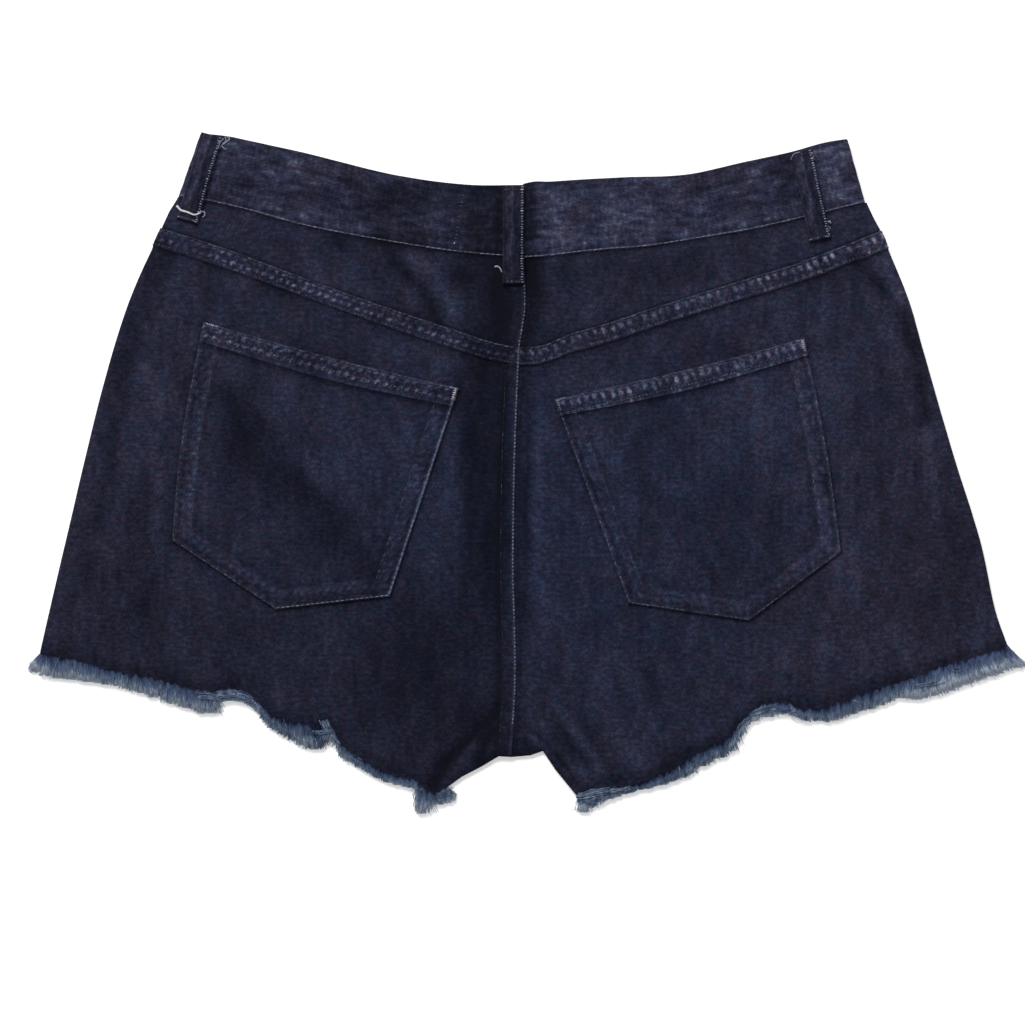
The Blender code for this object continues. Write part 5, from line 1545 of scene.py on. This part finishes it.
def indigo_denim(name, colours, shift=0.0):
    """Ring-spun cotton denim, 3/1 twill, dyed indigo, washed and then cut.

    The warp's uneven dye gives a dusty, mottled dark blue with short lengthways slubs. The
    ridges and seam edges are rubbed paler, and painted shade darkens the hollows, the grooves
    and the cloth beside raised seams, pockets and hems. There is no gloss, only a faint dry sheen.
    """
    material, tree, shader = new_finish(name)
    grain = add(tree, "ShaderNodeUVMap", {"uv_map": "grain"})
    in_mm = add(tree, "ShaderNodeMapping", {}, {"Vector": grain.outputs[0],
                                                "Scale": (1000.0, 1000.0, 1000.0)}).outputs[0]

    def noise(size_x, size_y, detail, rough=0.55):
        """Noise whose features are size_x wide and size_y long, in mm."""
        scaled = add(tree, "ShaderNodeMapping", {}, {"Vector": in_mm,
                                                     "Scale": (1 / size_x, 1 / size_y, 1.0)})
        return add(tree, "ShaderNodeTexNoise", {"noise_dimensions": "2D"},
                   {"Vector": scaled.outputs[0], "Scale": 1.0, "Detail": detail,
                    "Roughness": rough}).outputs[0]

    # Real threads lie 0.45 mm apart, too fine to show, so the grain is drawn 2 to 3 mm wide
    fine = noise(2.8, 2.0, 2.0, 0.65)
    slub = noise(2.8, 11.0, 2.0)
    crossways = noise(7.0, 1.8, 1.5)
    mottle = noise(7.0, 12.0, 2.0)
    drape = noise(15.0, 32.0, 1.0)
    wash = noise(46.0, 70.0, 1.0)
    # Twill lines are 0.9 mm apart in the cloth and 1.9 mm here, for the same reason
    turned = add(tree, "ShaderNodeMapping", {}, {"Vector": in_mm,
                                                 "Rotation": (0.0, 0.0, math.radians(28.0))})
    twill = add(tree, "ShaderNodeTexWave", {"wave_type": "BANDS", "bands_direction": "X"},
                {"Vector": turned.outputs[0], "Scale": 0.31416 / 1.9, "Distortion": 1.2,
                 "Detail": 1.0}).outputs[1]
    # The seam coordinates run along a felled band, so its puckers lie across it
    seam = add(tree, "ShaderNodeUVMap", {"uv_map": "seam"}).outputs[0]

    def spots(vector, size_x, size_y, randomness, edge):
        """Spots on a loose grid, one in each size_x by size_y."""
        cells = add(tree, "ShaderNodeMapping", {}, {"Vector": vector,
                                                    "Scale": (1 / size_x, 1 / size_y, 1.0)})
        found = add(tree, "ShaderNodeTexVoronoi", {"voronoi_dimensions": "2D"},
                    {"Vector": cells.outputs[0], "Scale": 1.0, "Randomness": randomness})
        return add(tree, "ShaderNodeMapRange", {}, {0: found.outputs[0], 1: edge, 2: 0.08}).outputs[0]

    strokes = spots(seam, 0.0045, 0.0088, 0.26, 0.43)
    specks = spots(in_mm, 2.3, 2.6, 0.85, 0.46)
    patches = add(tree, "ShaderNodeTexNoise", {"noise_dimensions": "2D"},
                  {"Vector": seam, "Scale": 190.0, "Detail": 1.5}).outputs[0]
    patches = add(tree, "ShaderNodeMapRange", {}, {0: patches, 1: 0.16, 2: 0.48}).outputs[0]
    crests = weighted_sum(tree, [(strokes, 0.0, 0.95), (specks, 0.0, 0.40)], 0.0)
    crests = compute(tree, "MULTIPLY", compute(tree, "MINIMUM", crests, 0.92), patches)
    pucker = point_value(tree, "pucker")
    roped = compute(tree, "MULTIPLY", crests, pucker)
    # Paler where the cloth is rubbed, darker where shade is painted
    wear_and_shade = point_value(tree, "wear_and_shade")
    terms = [(fine, 0.5, 0.38), (slub, 0.5, 0.09 + 3.5 * shift), (crossways, 0.5, 0.17 - shift),
             (mottle, 0.5, 0.17 + shift), (drape, 0.5, 0.16), (wash, 0.5, 0.10),
             (twill, 0.5, 0.04), (wear_and_shade, 0.0, 0.62), (roped, 0.0, 0.38), (pucker, 0.0, -0.02)]
    amount = weighted_sum(tree, terms, 0.475 + 0.8 * shift)
    dyed = colour_ramp(tree, amount, [(0.20, colours.deep), (0.35, colours.shade),
                                      (0.50, colours.indigo), (0.65, colours.light),
                                      (0.80, colours.worn), (1.0, colours.pale)])
    aged = weighted_sum(tree, [(point_value(tree, "cast"), 0.0, 0.5),
                               (noise(13.0, 17.0, 1.0), 0.5, 1.1), (roped, 0.0, 0.3)], 0.5)
    hues = add(tree, "ShaderNodeMix", {"data_type": "RGBA"},
               {0: aged, 6: (0.80, 1.0, 1.08, 1.0), 7: (1.21, 1.055, 0.91, 1.0)})
    tinted = add(tree, "ShaderNodeMix", {"data_type": "RGBA", "blend_type": "MULTIPLY"},
                 {0: 1.0, 6: dyed, 7: hues.outputs[2]}).outputs[2]
    cast = noise(3.6, 4.2, 2.0)
    for high, hue in ((0.68, (1.26, 0.92, 1.04, 1.0)), (0.32, (0.82, 1.08, 1.0, 1.0))):
        part = add(tree, "ShaderNodeMapRange", {}, {0: cast, 1: 0.5, 2: high, 3: 0.0,
                                                    4: 0.75 - 2.5 * shift})
        mixed = add(tree, "ShaderNodeMix", {"data_type": "RGBA", "blend_type": "MULTIPLY"},
                    {0: part.outputs[0], 6: tinted, 7: hue})
        tinted = mixed.outputs[2]
    tree.links.new(tinted, shader.inputs["Base Color"])
    ridge = add(tree, "ShaderNodeBump", {}, {"Height": roped, "Distance": 0.0004, "Strength": 0.6})
    height = weighted_sum(tree, [(fine, 0.5, 0.5), (slub, 0.5, 0.2), (crossways, 0.5, 0.2),
                                 (twill, 0.5, 0.16)], 0.5)
    relief = add(tree, "ShaderNodeBump", {}, {"Height": height, "Distance": 0.00022,
                                              "Strength": 0.5, "Normal": ridge.outputs[0]})
    tree.links.new(relief.outputs[0], shader.inputs["Normal"])
    set_finish(shader, {"Roughness": 1.0, "Specular IOR Level": 0.06, "Sheen Weight": 0.03,
                        "Sheen Roughness": 0.6, "Sheen Tint": (0.35, 0.38, 0.62, 1.0)})
    return material


def sewing_cotton(name, colours):
    """Spun polyester-cotton topstitching: matt, slightly uneven, paler than the cloth."""
    material, tree, shader = new_finish(name)
    tone = point_value(tree, "tone")
    place = add(tree, "ShaderNodeTexCoord").outputs["Object"]
    fuzz = add(tree, "ShaderNodeTexNoise", {}, {"Vector": place, "Scale": 900.0, "Detail": 1.0})
    amount = weighted_sum(tree, [(fuzz.outputs[0], 0.5, 0.3), (tone, 0.0, 1.0)], 0.0)
    spun = colour_ramp(tree, amount, [(0.0, colours.tonal), (0.5, colours.stitch),
                                      (1.0, colours.natural)])
    tree.links.new(spun, shader.inputs["Base Color"])
    set_finish(shader, {"Roughness": 0.75, "Specular IOR Level": 0.2})
    return material


def frayed_cotton(name, colours):
    """Frayed denim yarn, its dye worn from the fibres, pale at the tips. By the cloth it is dark:
    partly dyed yarn, partly painted shade of the cloth's edge.
    """
    material, tree, shader = new_finish(name)
    down = point_value(tree, "down")
    tone = point_value(tree, "tone")
    place = add(tree, "ShaderNodeTexCoord").outputs["Object"]
    # Wisps of like colour are 2.2 mm by 5 mm, and lie askew to the threads
    wisps = add(tree, "ShaderNodeMapping", {}, {"Vector": place, "Rotation": (0.0, 0.0, 0.7),
                                                "Scale": (1 / 0.0022, 1 / 0.0050, 0.0)})
    mottle = add(tree, "ShaderNodeTexNoise", {"noise_dimensions": "2D"},
                 {"Vector": wisps.outputs[0], "Scale": 1.0, "Detail": 1.5}).outputs[0]
    amount = weighted_sum(tree, [(down, 0.0, 0.98), (tone, 0.0, 1.0), (mottle, 0.5, 0.6)], 0.01)
    bared = colour_ramp(tree, amount, [(0.0, colours.fray_root_and_shade), (0.33, colours.fray_middle),
                                       (0.72, colours.fray_tip), (1.0, colours.fray_weft)])
    tree.links.new(bared, shader.inputs["Base Color"])
    set_finish(shader, {"Roughness": 0.9, "Specular IOR Level": 0.08})
    return material


def worn_brass(name, colours):
    """Stamped brass, dulled with use: a warm soft gloss with fine scratches."""
    material, tree, shader = new_finish(name)
    place = add(tree, "ShaderNodeTexCoord").outputs["Object"]
    scuff = add(tree, "ShaderNodeTexNoise", {}, {"Vector": place, "Scale": 1400.0, "Detail": 3.0})
    dulled = colour_ramp(tree, scuff.outputs[0], [(0.0, colours.dull_brass), (1.0, colours.brass)])
    tree.links.new(dulled, shader.inputs["Base Color"])
    add_relief(tree, shader, scuff.outputs[0], 0.00005, 0.4)
    set_finish(shader, {"Metallic": 1.0, "Roughness": 0.38})
    return material


def pale_floor(name, colours):
    """Translucent white board, lit a little from below, so that it shows hardly any shadow."""
    material, tree, shader = new_finish(name)
    place = add(tree, "ShaderNodeTexCoord").outputs["Object"]
    speck = add(tree, "ShaderNodeTexNoise", {}, {"Vector": place, "Scale": 60.0, "Detail": 2.0})
    add_relief(tree, shader, speck.outputs[0], 0.0002, 0.1)
    set_finish(shader, {"Base Color": linear(colours.floor), "Roughness": 0.9,
                        "Specular IOR Level": 0.1, "Emission Color": (1.0, 1.0, 1.0, 1.0),
                        "Emission Strength": 0.3})
    return material


def finish_of(key):
    """The material of a finish, made when it is first asked for."""
    colours = bpy.context.scene.shorts_colours
    makers = {"washed_indigo_denim": indigo_denim, "waistband_indigo_denim": rubbed_denim,
              "tonal_sewing_cotton": sewing_cotton, "frayed_denim_yarn": frayed_cotton,
              "worn_stamped_brass": worn_brass, "matt_pale_board": pale_floor}
    return bpy.data.materials.get(key) or makers[key](key, colours)


# ---------------------------------------------------------------- operators

class SHORTS_OT_frayed_hems(bpy.types.Operator):
    """Hang the frayed threads of the four cut hems"""

    bl_idname = "shorts.frayed_hems"
    bl_label = "Frayed hems"

    def execute(self, context):
        fray = context.scene.shorts_fray
        for layer in ("back", "front"):
            for side in SIDES:
                item = fray_piece(side, layer, fray, finish_of("frayed_denim_yarn"))
                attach(item, "root")
                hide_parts("fray_" + layer + "_" + side)
        return {"FINISHED"}


class SHORTS_OT_front_legs(bpy.types.Operator):
    """Lay the two front legs and the fly shield"""

    bl_idname = "shorts.front_legs"
    bl_label = "Front legs"

    def execute(self, context):
        cloth = context.scene.shorts_cloth
        denim = finish_of("washed_indigo_denim")
        for side in SIDES:
            item, area = front_leg(side, cloth, denim)
            show_cloth(item, "front_panel_" + side)
        item, area = fly_shield(cloth, denim)
        show_cloth(item, "fly_shield")
        return {"FINISHED"}


class SHORTS_OT_back_legs(bpy.types.Operator):
    """Lay the two back legs with their felled seams"""

    bl_idname = "shorts.back_legs"
    bl_label = "Back legs"

    def execute(self, context):
        cloth = context.scene.shorts_cloth
        for side in SIDES:
            item, area = back_leg(side, cloth, finish_of("washed_indigo_denim"))
            show_cloth(item, "back_panel_" + side)
        return {"FINISHED"}


class SHORTS_OT_yokes(bpy.types.Operator):
    """Lay the two yokes"""

    bl_idname = "shorts.yokes"
    bl_label = "Yokes"

    def execute(self, context):
        cloth = context.scene.shorts_cloth
        for side in SIDES:
            item, area = back_yoke(side, cloth, finish_of("washed_indigo_denim"))
            show_cloth(item, "back_yoke_" + side)
        return {"FINISHED"}


class SHORTS_OT_pockets(bpy.types.Operator):
    """Sew the two patch pockets on"""

    bl_idname = "shorts.pockets"
    bl_label = "Back pockets"

    def execute(self, context):
        cloth = context.scene.shorts_cloth
        for side in SIDES:
            item, area = back_pocket(side, cloth, finish_of("washed_indigo_denim"))
            show_cloth(item, "back_pocket_" + side)
        return {"FINISHED"}


class SHORTS_OT_waistband(bpy.types.Operator):
    """Fold the two waistband halves round the sides"""

    bl_idname = "shorts.waistband"
    bl_label = "Waistband"

    def execute(self, context):
        cloth = context.scene.shorts_cloth
        for side in SIDES:
            item, width, run = waistband(side, cloth, finish_of("waistband_indigo_denim"))
            show_cloth(item, "waistband_" + side)
        return {"FINISHED"}


class SHORTS_OT_belt_loops(bpy.types.Operator):
    """Sew the five belt loops on"""

    bl_idname = "shorts.belt_loops"
    bl_label = "Belt loops"

    def execute(self, context):
        cloth = context.scene.shorts_cloth
        denim = finish_of("waistband_indigo_denim")
        for name, loop in LOOPS.items():
            item, run = belt_loop(name, cloth, denim)
            show_cloth(item, name)
        for name in FRONT_LOOPS:
            item, run = front_belt_loop(name, denim)
            show_cloth(item, name)
        return {"FINISHED"}


def select_end(item, direction):
    """Enter edit mode with only the flat end of a turned piece selected."""
    bpy.ops.object.mode_set(mode="EDIT")
    bpy.ops.mesh.select_mode(type="FACE")
    bpy.ops.mesh.select_all(action="DESELECT")
    bpy.ops.object.mode_set(mode="OBJECT")
    edge = max(v.co.z * direction for v in item.data.vertices)
    for face in item.data.polygons:
        face.select = face.normal.z * direction > 0.9 and face.center.z * direction > edge - 1e-6
    bpy.ops.object.mode_set(mode="EDIT")


class SHORTS_OT_button(bpy.types.Operator):
    """Turn the fly button: a dished cap on a short shank"""

    bl_idname = "shorts.button"
    bl_label = "Fly button"

    def execute(self, context):
        cap = BUTTON["cap"] * MM
        bpy.ops.object.select_all(action="DESELECT")
        bpy.ops.mesh.primitive_cylinder_add(
            vertices=48, radius=BUTTON["radius"] * MM, depth=cap,
            location=(BUTTON["x"] * MM, BUTTON["y"] * MM, cap / 2))
        button = context.active_object
        button.name = "brass_fly_button"
        bpy.ops.object.transform_apply(location=True, rotation=True, scale=True)
        select_end(button, -1.0)
        for thickness, rise in BUTTON_RINGS:
            bpy.ops.mesh.inset(thickness=thickness * MM, depth=rise * MM)
        bpy.ops.object.mode_set(mode="OBJECT")
        select_end(button, 1.0)
        bpy.ops.mesh.inset(thickness=(BUTTON["radius"] - BUTTON["shank"]) * MM, depth=0.0)
        shank = (BUTTON["height"] - BUTTON["cap"]) * MM
        bpy.ops.mesh.extrude_region_move(TRANSFORM_OT_translate={"value": (0, 0, shank)})
        bpy.ops.object.mode_set(mode="OBJECT")
        edge = button.modifiers.new("rolled_edge", "BEVEL")
        edge.width = 0.22 * MM
        edge.segments = 2
        edge.limit_method = "ANGLE"
        bpy.ops.object.modifier_apply(modifier=edge.name)
        button.data.materials.append(finish_of("worn_stamped_brass"))
        bpy.ops.object.shade_smooth_by_angle(angle=math.radians(35))
        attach(button, "root")
        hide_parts("waist_button")
        return {"FINISHED"}


class SHORTS_OT_topstitching(bpy.types.Operator):
    """Sew the rows of topstitching, the bartacks and the loose thread ends"""

    bl_idname = "shorts.topstitching"
    bl_label = "Topstitching"

    def execute(self, context):
        thread = context.scene.shorts_thread
        cotton = finish_of("tonal_sewing_cotton")
        self.back(thread, cotton)
        self.front(thread, cotton)
        return {"FINISHED"}

    def back(self, thread, cotton):
        """Rows on the face that lies up."""
        rng = np.random.default_rng(211)
        names = ["denim_" + part + side for part in ("back_leg_", "yoke_", "pocket_", "waistband_")
                 for side in SIDES] + ["denim_" + name for name in LOOPS]
        tree = cloth_tree(names)
        # Rows that run on under a belt loop lie on the cloth below it
        work = Needlework(cloth_tree(names[:-len(LOOPS)]))
        for side, turn in (("left", 1.0), ("right", -1.0)):
            left = side == "left"
            shape = POCKET[side]
            edge_row = pocket_line(shape, 1.0)
            inner_row = pocket_line(shape, 10.8)
            # Path, tone, and the shares of width, stitch and pause
            for path, tone, *shares in (
                    (seam_line(BAND_FOOT[side], -0.8 * turn), 0.25, 1.4, 1.0, 0.4),
                    (seam_line(YOKE_FOOT[side], 0.9 * turn), 0.09, 1.5, 1.0, 0.15),
                    (seam_line(YOKE_FOOT[side], 9.6 * turn), 0.05 if left else 0.10, 1.5, 0.38, 3.2),
                    (edge_row[2:-2], 0.10, 1.2, 0.8, 2.0),
                    (edge_row[-3:], 0.30 if left else 0.10, 1.3, 0.8, 1.5),
                    (inner_row[6:40], 0.08, 0.8, 0.8, 3.0),
                    (inner_row[-2:], 0.08, 0.8, 0.8, 3.0)):
                work.row(path, thread, tone, rng, *shares)
            outer_top = np.array(shape["outer_top"])
            inner_top = np.array(shape["inner_top"])
            hem = unit(inner_top - outer_top)
            fall = -left_of(hem) if hem[0] > 0 else left_of(hem)
            sag = np.linspace(0, 1, 30)
            line = outer_top + (inner_top - outer_top) * sag[:, None]
            line[:, 1] -= POCKET_TOP_SAG * np.sin(np.pi * sag)
            work.row(line[1:-1] + fall * 1.0, thread, 0.09, rng, 1.5, 1.0, 0.15)
            work.row(line[1:-1] + fall * shape["hem_row"], thread, 0.13, rng, 1.5, 0.38, 3.2)
            outer_tack, inner_tack = POCKET_TACKS[side]
            for corner, way, (fall_tone, hem_tone, run) in ((outer_top, hem, outer_tack),
                                                            (inner_top, -hem, inner_tack)):
                place = corner + way * 1.6 + fall * 0.8
                work.bartack(place, place + fall * 6.5, 2.4, thread, fall_tone, rng)
                work.bartack(place, place + way * run, 1.2, thread, hem_tone, rng)
        work.row(seam_line(CENTRE_BACK[1:YOKE_ROW + 1], -0.9, 80), thread, 0.17, rng, 2.3, 0.6)
        work.row(seam_line(CENTRE_BACK[YOKE_ROW:], -0.9, 240)[:221], thread, 0.21, rng, 2.3, 0.6)
        work.row(seam_line(CENTRE_BACK[YOKE_ROW:], -7.9, 200), thread, 0.0, rng, 0.85)
        work.tree = tree
        self.loop_rows(work, thread, rng)
        # What shows of the stitches that hold a label on the inside
        work.ladder([(-36.8, 161), (-38.5, 150), (-41.2, 134)], 1.9, 1.9, 0.44, (0.06, 0.18), rng)
        work.lay((-42.2, 133.0), (-41.2, 133.2), 1.0, 0.56)
        work.ladder([(24.6, 159), (25.8, 148), (25.4, 133)], 1.8, 1.9, 0.44, (0.08, 0.12), rng)
        item = work.finish("topstitching_back", cotton)
        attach(item, "root")
        self.loose_ends(tree, cotton)

    def loop_rows(self, work, thread, rng):
        """Edge rows and bartacks of the belt loops on the back."""
        for loop in LOOPS.values():
            top, foot, _, down, side = strap_axes(loop)
            edge = side * (LOOP_WIDTH / 2 - 1.1)
            work.ladder([top + edge + down * 0.8, foot + edge - down * 0.6], 2.1, 1.45, 0.72,
                        (0.46, 0.40), rng)
            work.row([top - edge + down * 1.0, foot - edge - down * 1.0], thread, -0.02, rng, 0.8)
            work.bartack(foot - down * 1.0 - side * 5.2, foot - down * 1.0 + side * 5.2, 1.2,
                         thread, 0.12, rng)
            work.bartack(top + down * 2.2 - side * 5.0, top + down * 2.2 + side * 5.0, 1.2,
                         thread, 0.02, rng)
            if loop["over_fell"]:
                continue
            for share_across in (-0.42, 0.3, 0.44):
                place = foot - down * 0.9 + side * share_across * LOOP_WIDTH
                work.lay(place - side * 0.8, place + side * 0.8, 0.8, 0.36)

    def loose_ends(self, tree, cotton):
        """Off-white ends of sewing thread that curl off the loops."""
        points = []
        faces = []
        tone = []
        for radius, shade, knots in THREAD_ENDS:
            plan = smooth_curve(knots, np.linspace(0, 1, 14))
            heights = [face_height(tree, x, y) for x, y in plan]
            known = [z for z in heights if z is not None] or [3.0]
            z = np.array([max(known) if h is None else h for h in heights])
            z = np.maximum(z, z.mean() - 0.4) + radius * 0.7
            path = np.column_stack([plan, z])[None]
            radii = radius * np.linspace(0.8, 0.55, 14)[None]
            own_points, own_faces = tubes(path, radii, 6)
            start = len(points)
            points += own_points.tolist()
            faces += [[start + v for v in face] for face in own_faces]
            tone += [shade] * len(own_points)
        item = mesh_object("loose_thread_ends", points, faces, cotton, {"tone": tone})
        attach(item, "root")

    def front(self, thread, cotton):
        """Rows on the face that lies down, sunk into their grooves."""
        rng = np.random.default_rng(223)
        names = ["denim_front_leg_left", "denim_front_leg_right", "denim_waistband_left",
                 "denim_waistband_right"] + ["denim_" + name for name in FRONT_LOOPS]
        work = Needlework(cloth_tree(names), from_below=True)
        for inside in (0.0, FLY_ROWS_APART):
            work.row(seam_line(FLY_CURVE, inside, 60), thread, 0.55, rng)
        for offset in (-1.8, 1.8):
            line = smooth_curve(CENTRE_FRONT, np.linspace(0, 1, 80)) + (offset, 0)
            work.row(line[20 if offset > 0 else 2:], thread, 0.5, rng)
        for side in SIDES:
            foot = smooth_curve(FRONT_FOOT[side], np.linspace(0.03, 1, 80))
            work.row(foot + (0, 1.6), thread, 0.55, rng)
            top = smooth_curve(FRONT_WAIST[side], np.linspace(0.03, 1, 80))
            work.row(top - (0, 1.8), thread, 0.35, rng)
        for loop in FRONT_LOOPS.values():
            top, foot, _, down, across = strap_axes(loop)
            for edge in (-4.8, 4.8):
                work.row([top + across * edge, foot + across * edge], thread, 0.5, rng)
            for place in (top + down * 2.0, foot - down * 1.6):
                work.bartack(place - across * 5.0, place + across * 5.0, 1.7, thread, 0.5, rng)
        work.bartack((-36, -20), (-30, -28), 2.0, thread, 0.55, rng)
        item = work.finish("topstitching_front", cotton)
        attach(item, "root")


class SHORTS_OT_stage(bpy.types.Operator):
    """Set up the floor, the soft light and the camera"""

    bl_idname = "shorts.stage"
    bl_label = "Floor, light and camera"

    def execute(self, context):
        studio = context.scene.shorts_studio
        bpy.ops.object.select_all(action="DESELECT")
        bpy.ops.mesh.primitive_plane_add(size=8.0, location=(0, 0, -0.0002))
        floor = context.active_object
        floor.name = "floor"
        bpy.ops.object.transform_apply(location=True, rotation=True, scale=True)
        floor.data.materials.append(finish_of("matt_pale_board"))
        self.light("key_softbox", (-1.4, 3.0, 2.7), 2.0, studio.key)
        self.light("fill_softbox", (1.8, -2.4, 3.2), 3.0, studio.fill)
        world = bpy.data.worlds.new("even_room")
        world.use_nodes = True
        sky = world.node_tree.nodes["Background"]
        sky.inputs[0].default_value = (1.0, 1.0, 1.0, 1.0)
        sky.inputs[1].default_value = studio.world
        context.scene.world = world
        place = (studio.centre_x, studio.centre_y, studio.camera_height)
        bpy.ops.object.camera_add(location=place, rotation=(0, 0, 0))
        camera = context.active_object
        camera.name = "camera_above"
        camera.data.sensor_fit = "HORIZONTAL"
        camera.data.sensor_width = 36.0
        above_cloth = studio.camera_height - 0.003
        camera.data.lens = camera.data.sensor_width * above_cloth / studio.frame_width
        context.scene.camera = camera
        context.scene.view_settings.view_transform = "Standard"
        return {"FINISHED"}

    def light(self, name, place, size, power):
        """A square softbox aimed at the shorts."""
        bpy.ops.object.light_add(type="AREA", location=place)
        lamp = bpy.context.active_object
        lamp.name = name
        lamp.data.size = size
        lamp.data.energy = power
        lamp.rotation_euler = (-Vector(place)).to_track_quat("-Z", "Y").to_euler()


class SHORTS_PT_panel(bpy.types.Panel):
    """Lists the steps of the build and their sizes"""

    bl_idname = "SHORTS_PT_panel"
    bl_label = "Denim shorts"
    bl_space_type = "VIEW_3D"
    bl_region_type = "UI"
    bl_category = "Shorts"

    def draw(self, context):
        layout = self.layout
        for group in (key for key, _ in GROUPS):
            box = layout.box()
            settings = getattr(context.scene, group)
            for key in settings.__annotations__:
                box.prop(settings, key)
        for operator in OPERATORS:
            layout.operator(operator.bl_idname)


GROUPS = [("shorts_cloth", ShortsCloth), ("shorts_thread", ShortsThread),
          ("shorts_fray", ShortsFray), ("shorts_colours", ShortsColours),
          ("shorts_studio", ShortsStudio)]
OPERATORS = [SHORTS_OT_stage, SHORTS_OT_frayed_hems, SHORTS_OT_front_legs, SHORTS_OT_back_legs,
             SHORTS_OT_yokes, SHORTS_OT_pockets, SHORTS_OT_waistband, SHORTS_OT_belt_loops,
             SHORTS_OT_button, SHORTS_OT_topstitching]


def register():
    """Register the settings, the operators and the panel."""
    for key, group in GROUPS:
        bpy.utils.register_class(group)
        setattr(bpy.types.Scene, key, bpy.props.PointerProperty(type=group))
    for operator in OPERATORS:
        bpy.utils.register_class(operator)
    bpy.utils.register_class(SHORTS_PT_panel)


def unregister():
    """Undo register."""
    bpy.utils.unregister_class(SHORTS_PT_panel)
    for operator in reversed(OPERATORS):
        bpy.utils.unregister_class(operator)
    for key, group in reversed(GROUPS):
        delattr(bpy.types.Scene, key)
        bpy.utils.unregister_class(group)


def main():
    """Build every piece in order."""
    register()
    bpy.ops.shorts.stage()
    bpy.ops.shorts.frayed_hems()
    bpy.ops.shorts.front_legs()
    bpy.ops.shorts.back_legs()
    bpy.ops.shorts.yokes()
    bpy.ops.shorts.pockets()
    bpy.ops.shorts.waistband()
    bpy.ops.shorts.belt_loops()
    bpy.ops.shorts.button()
    bpy.ops.shorts.topstitching()


if __name__ == "__main__":
    main()
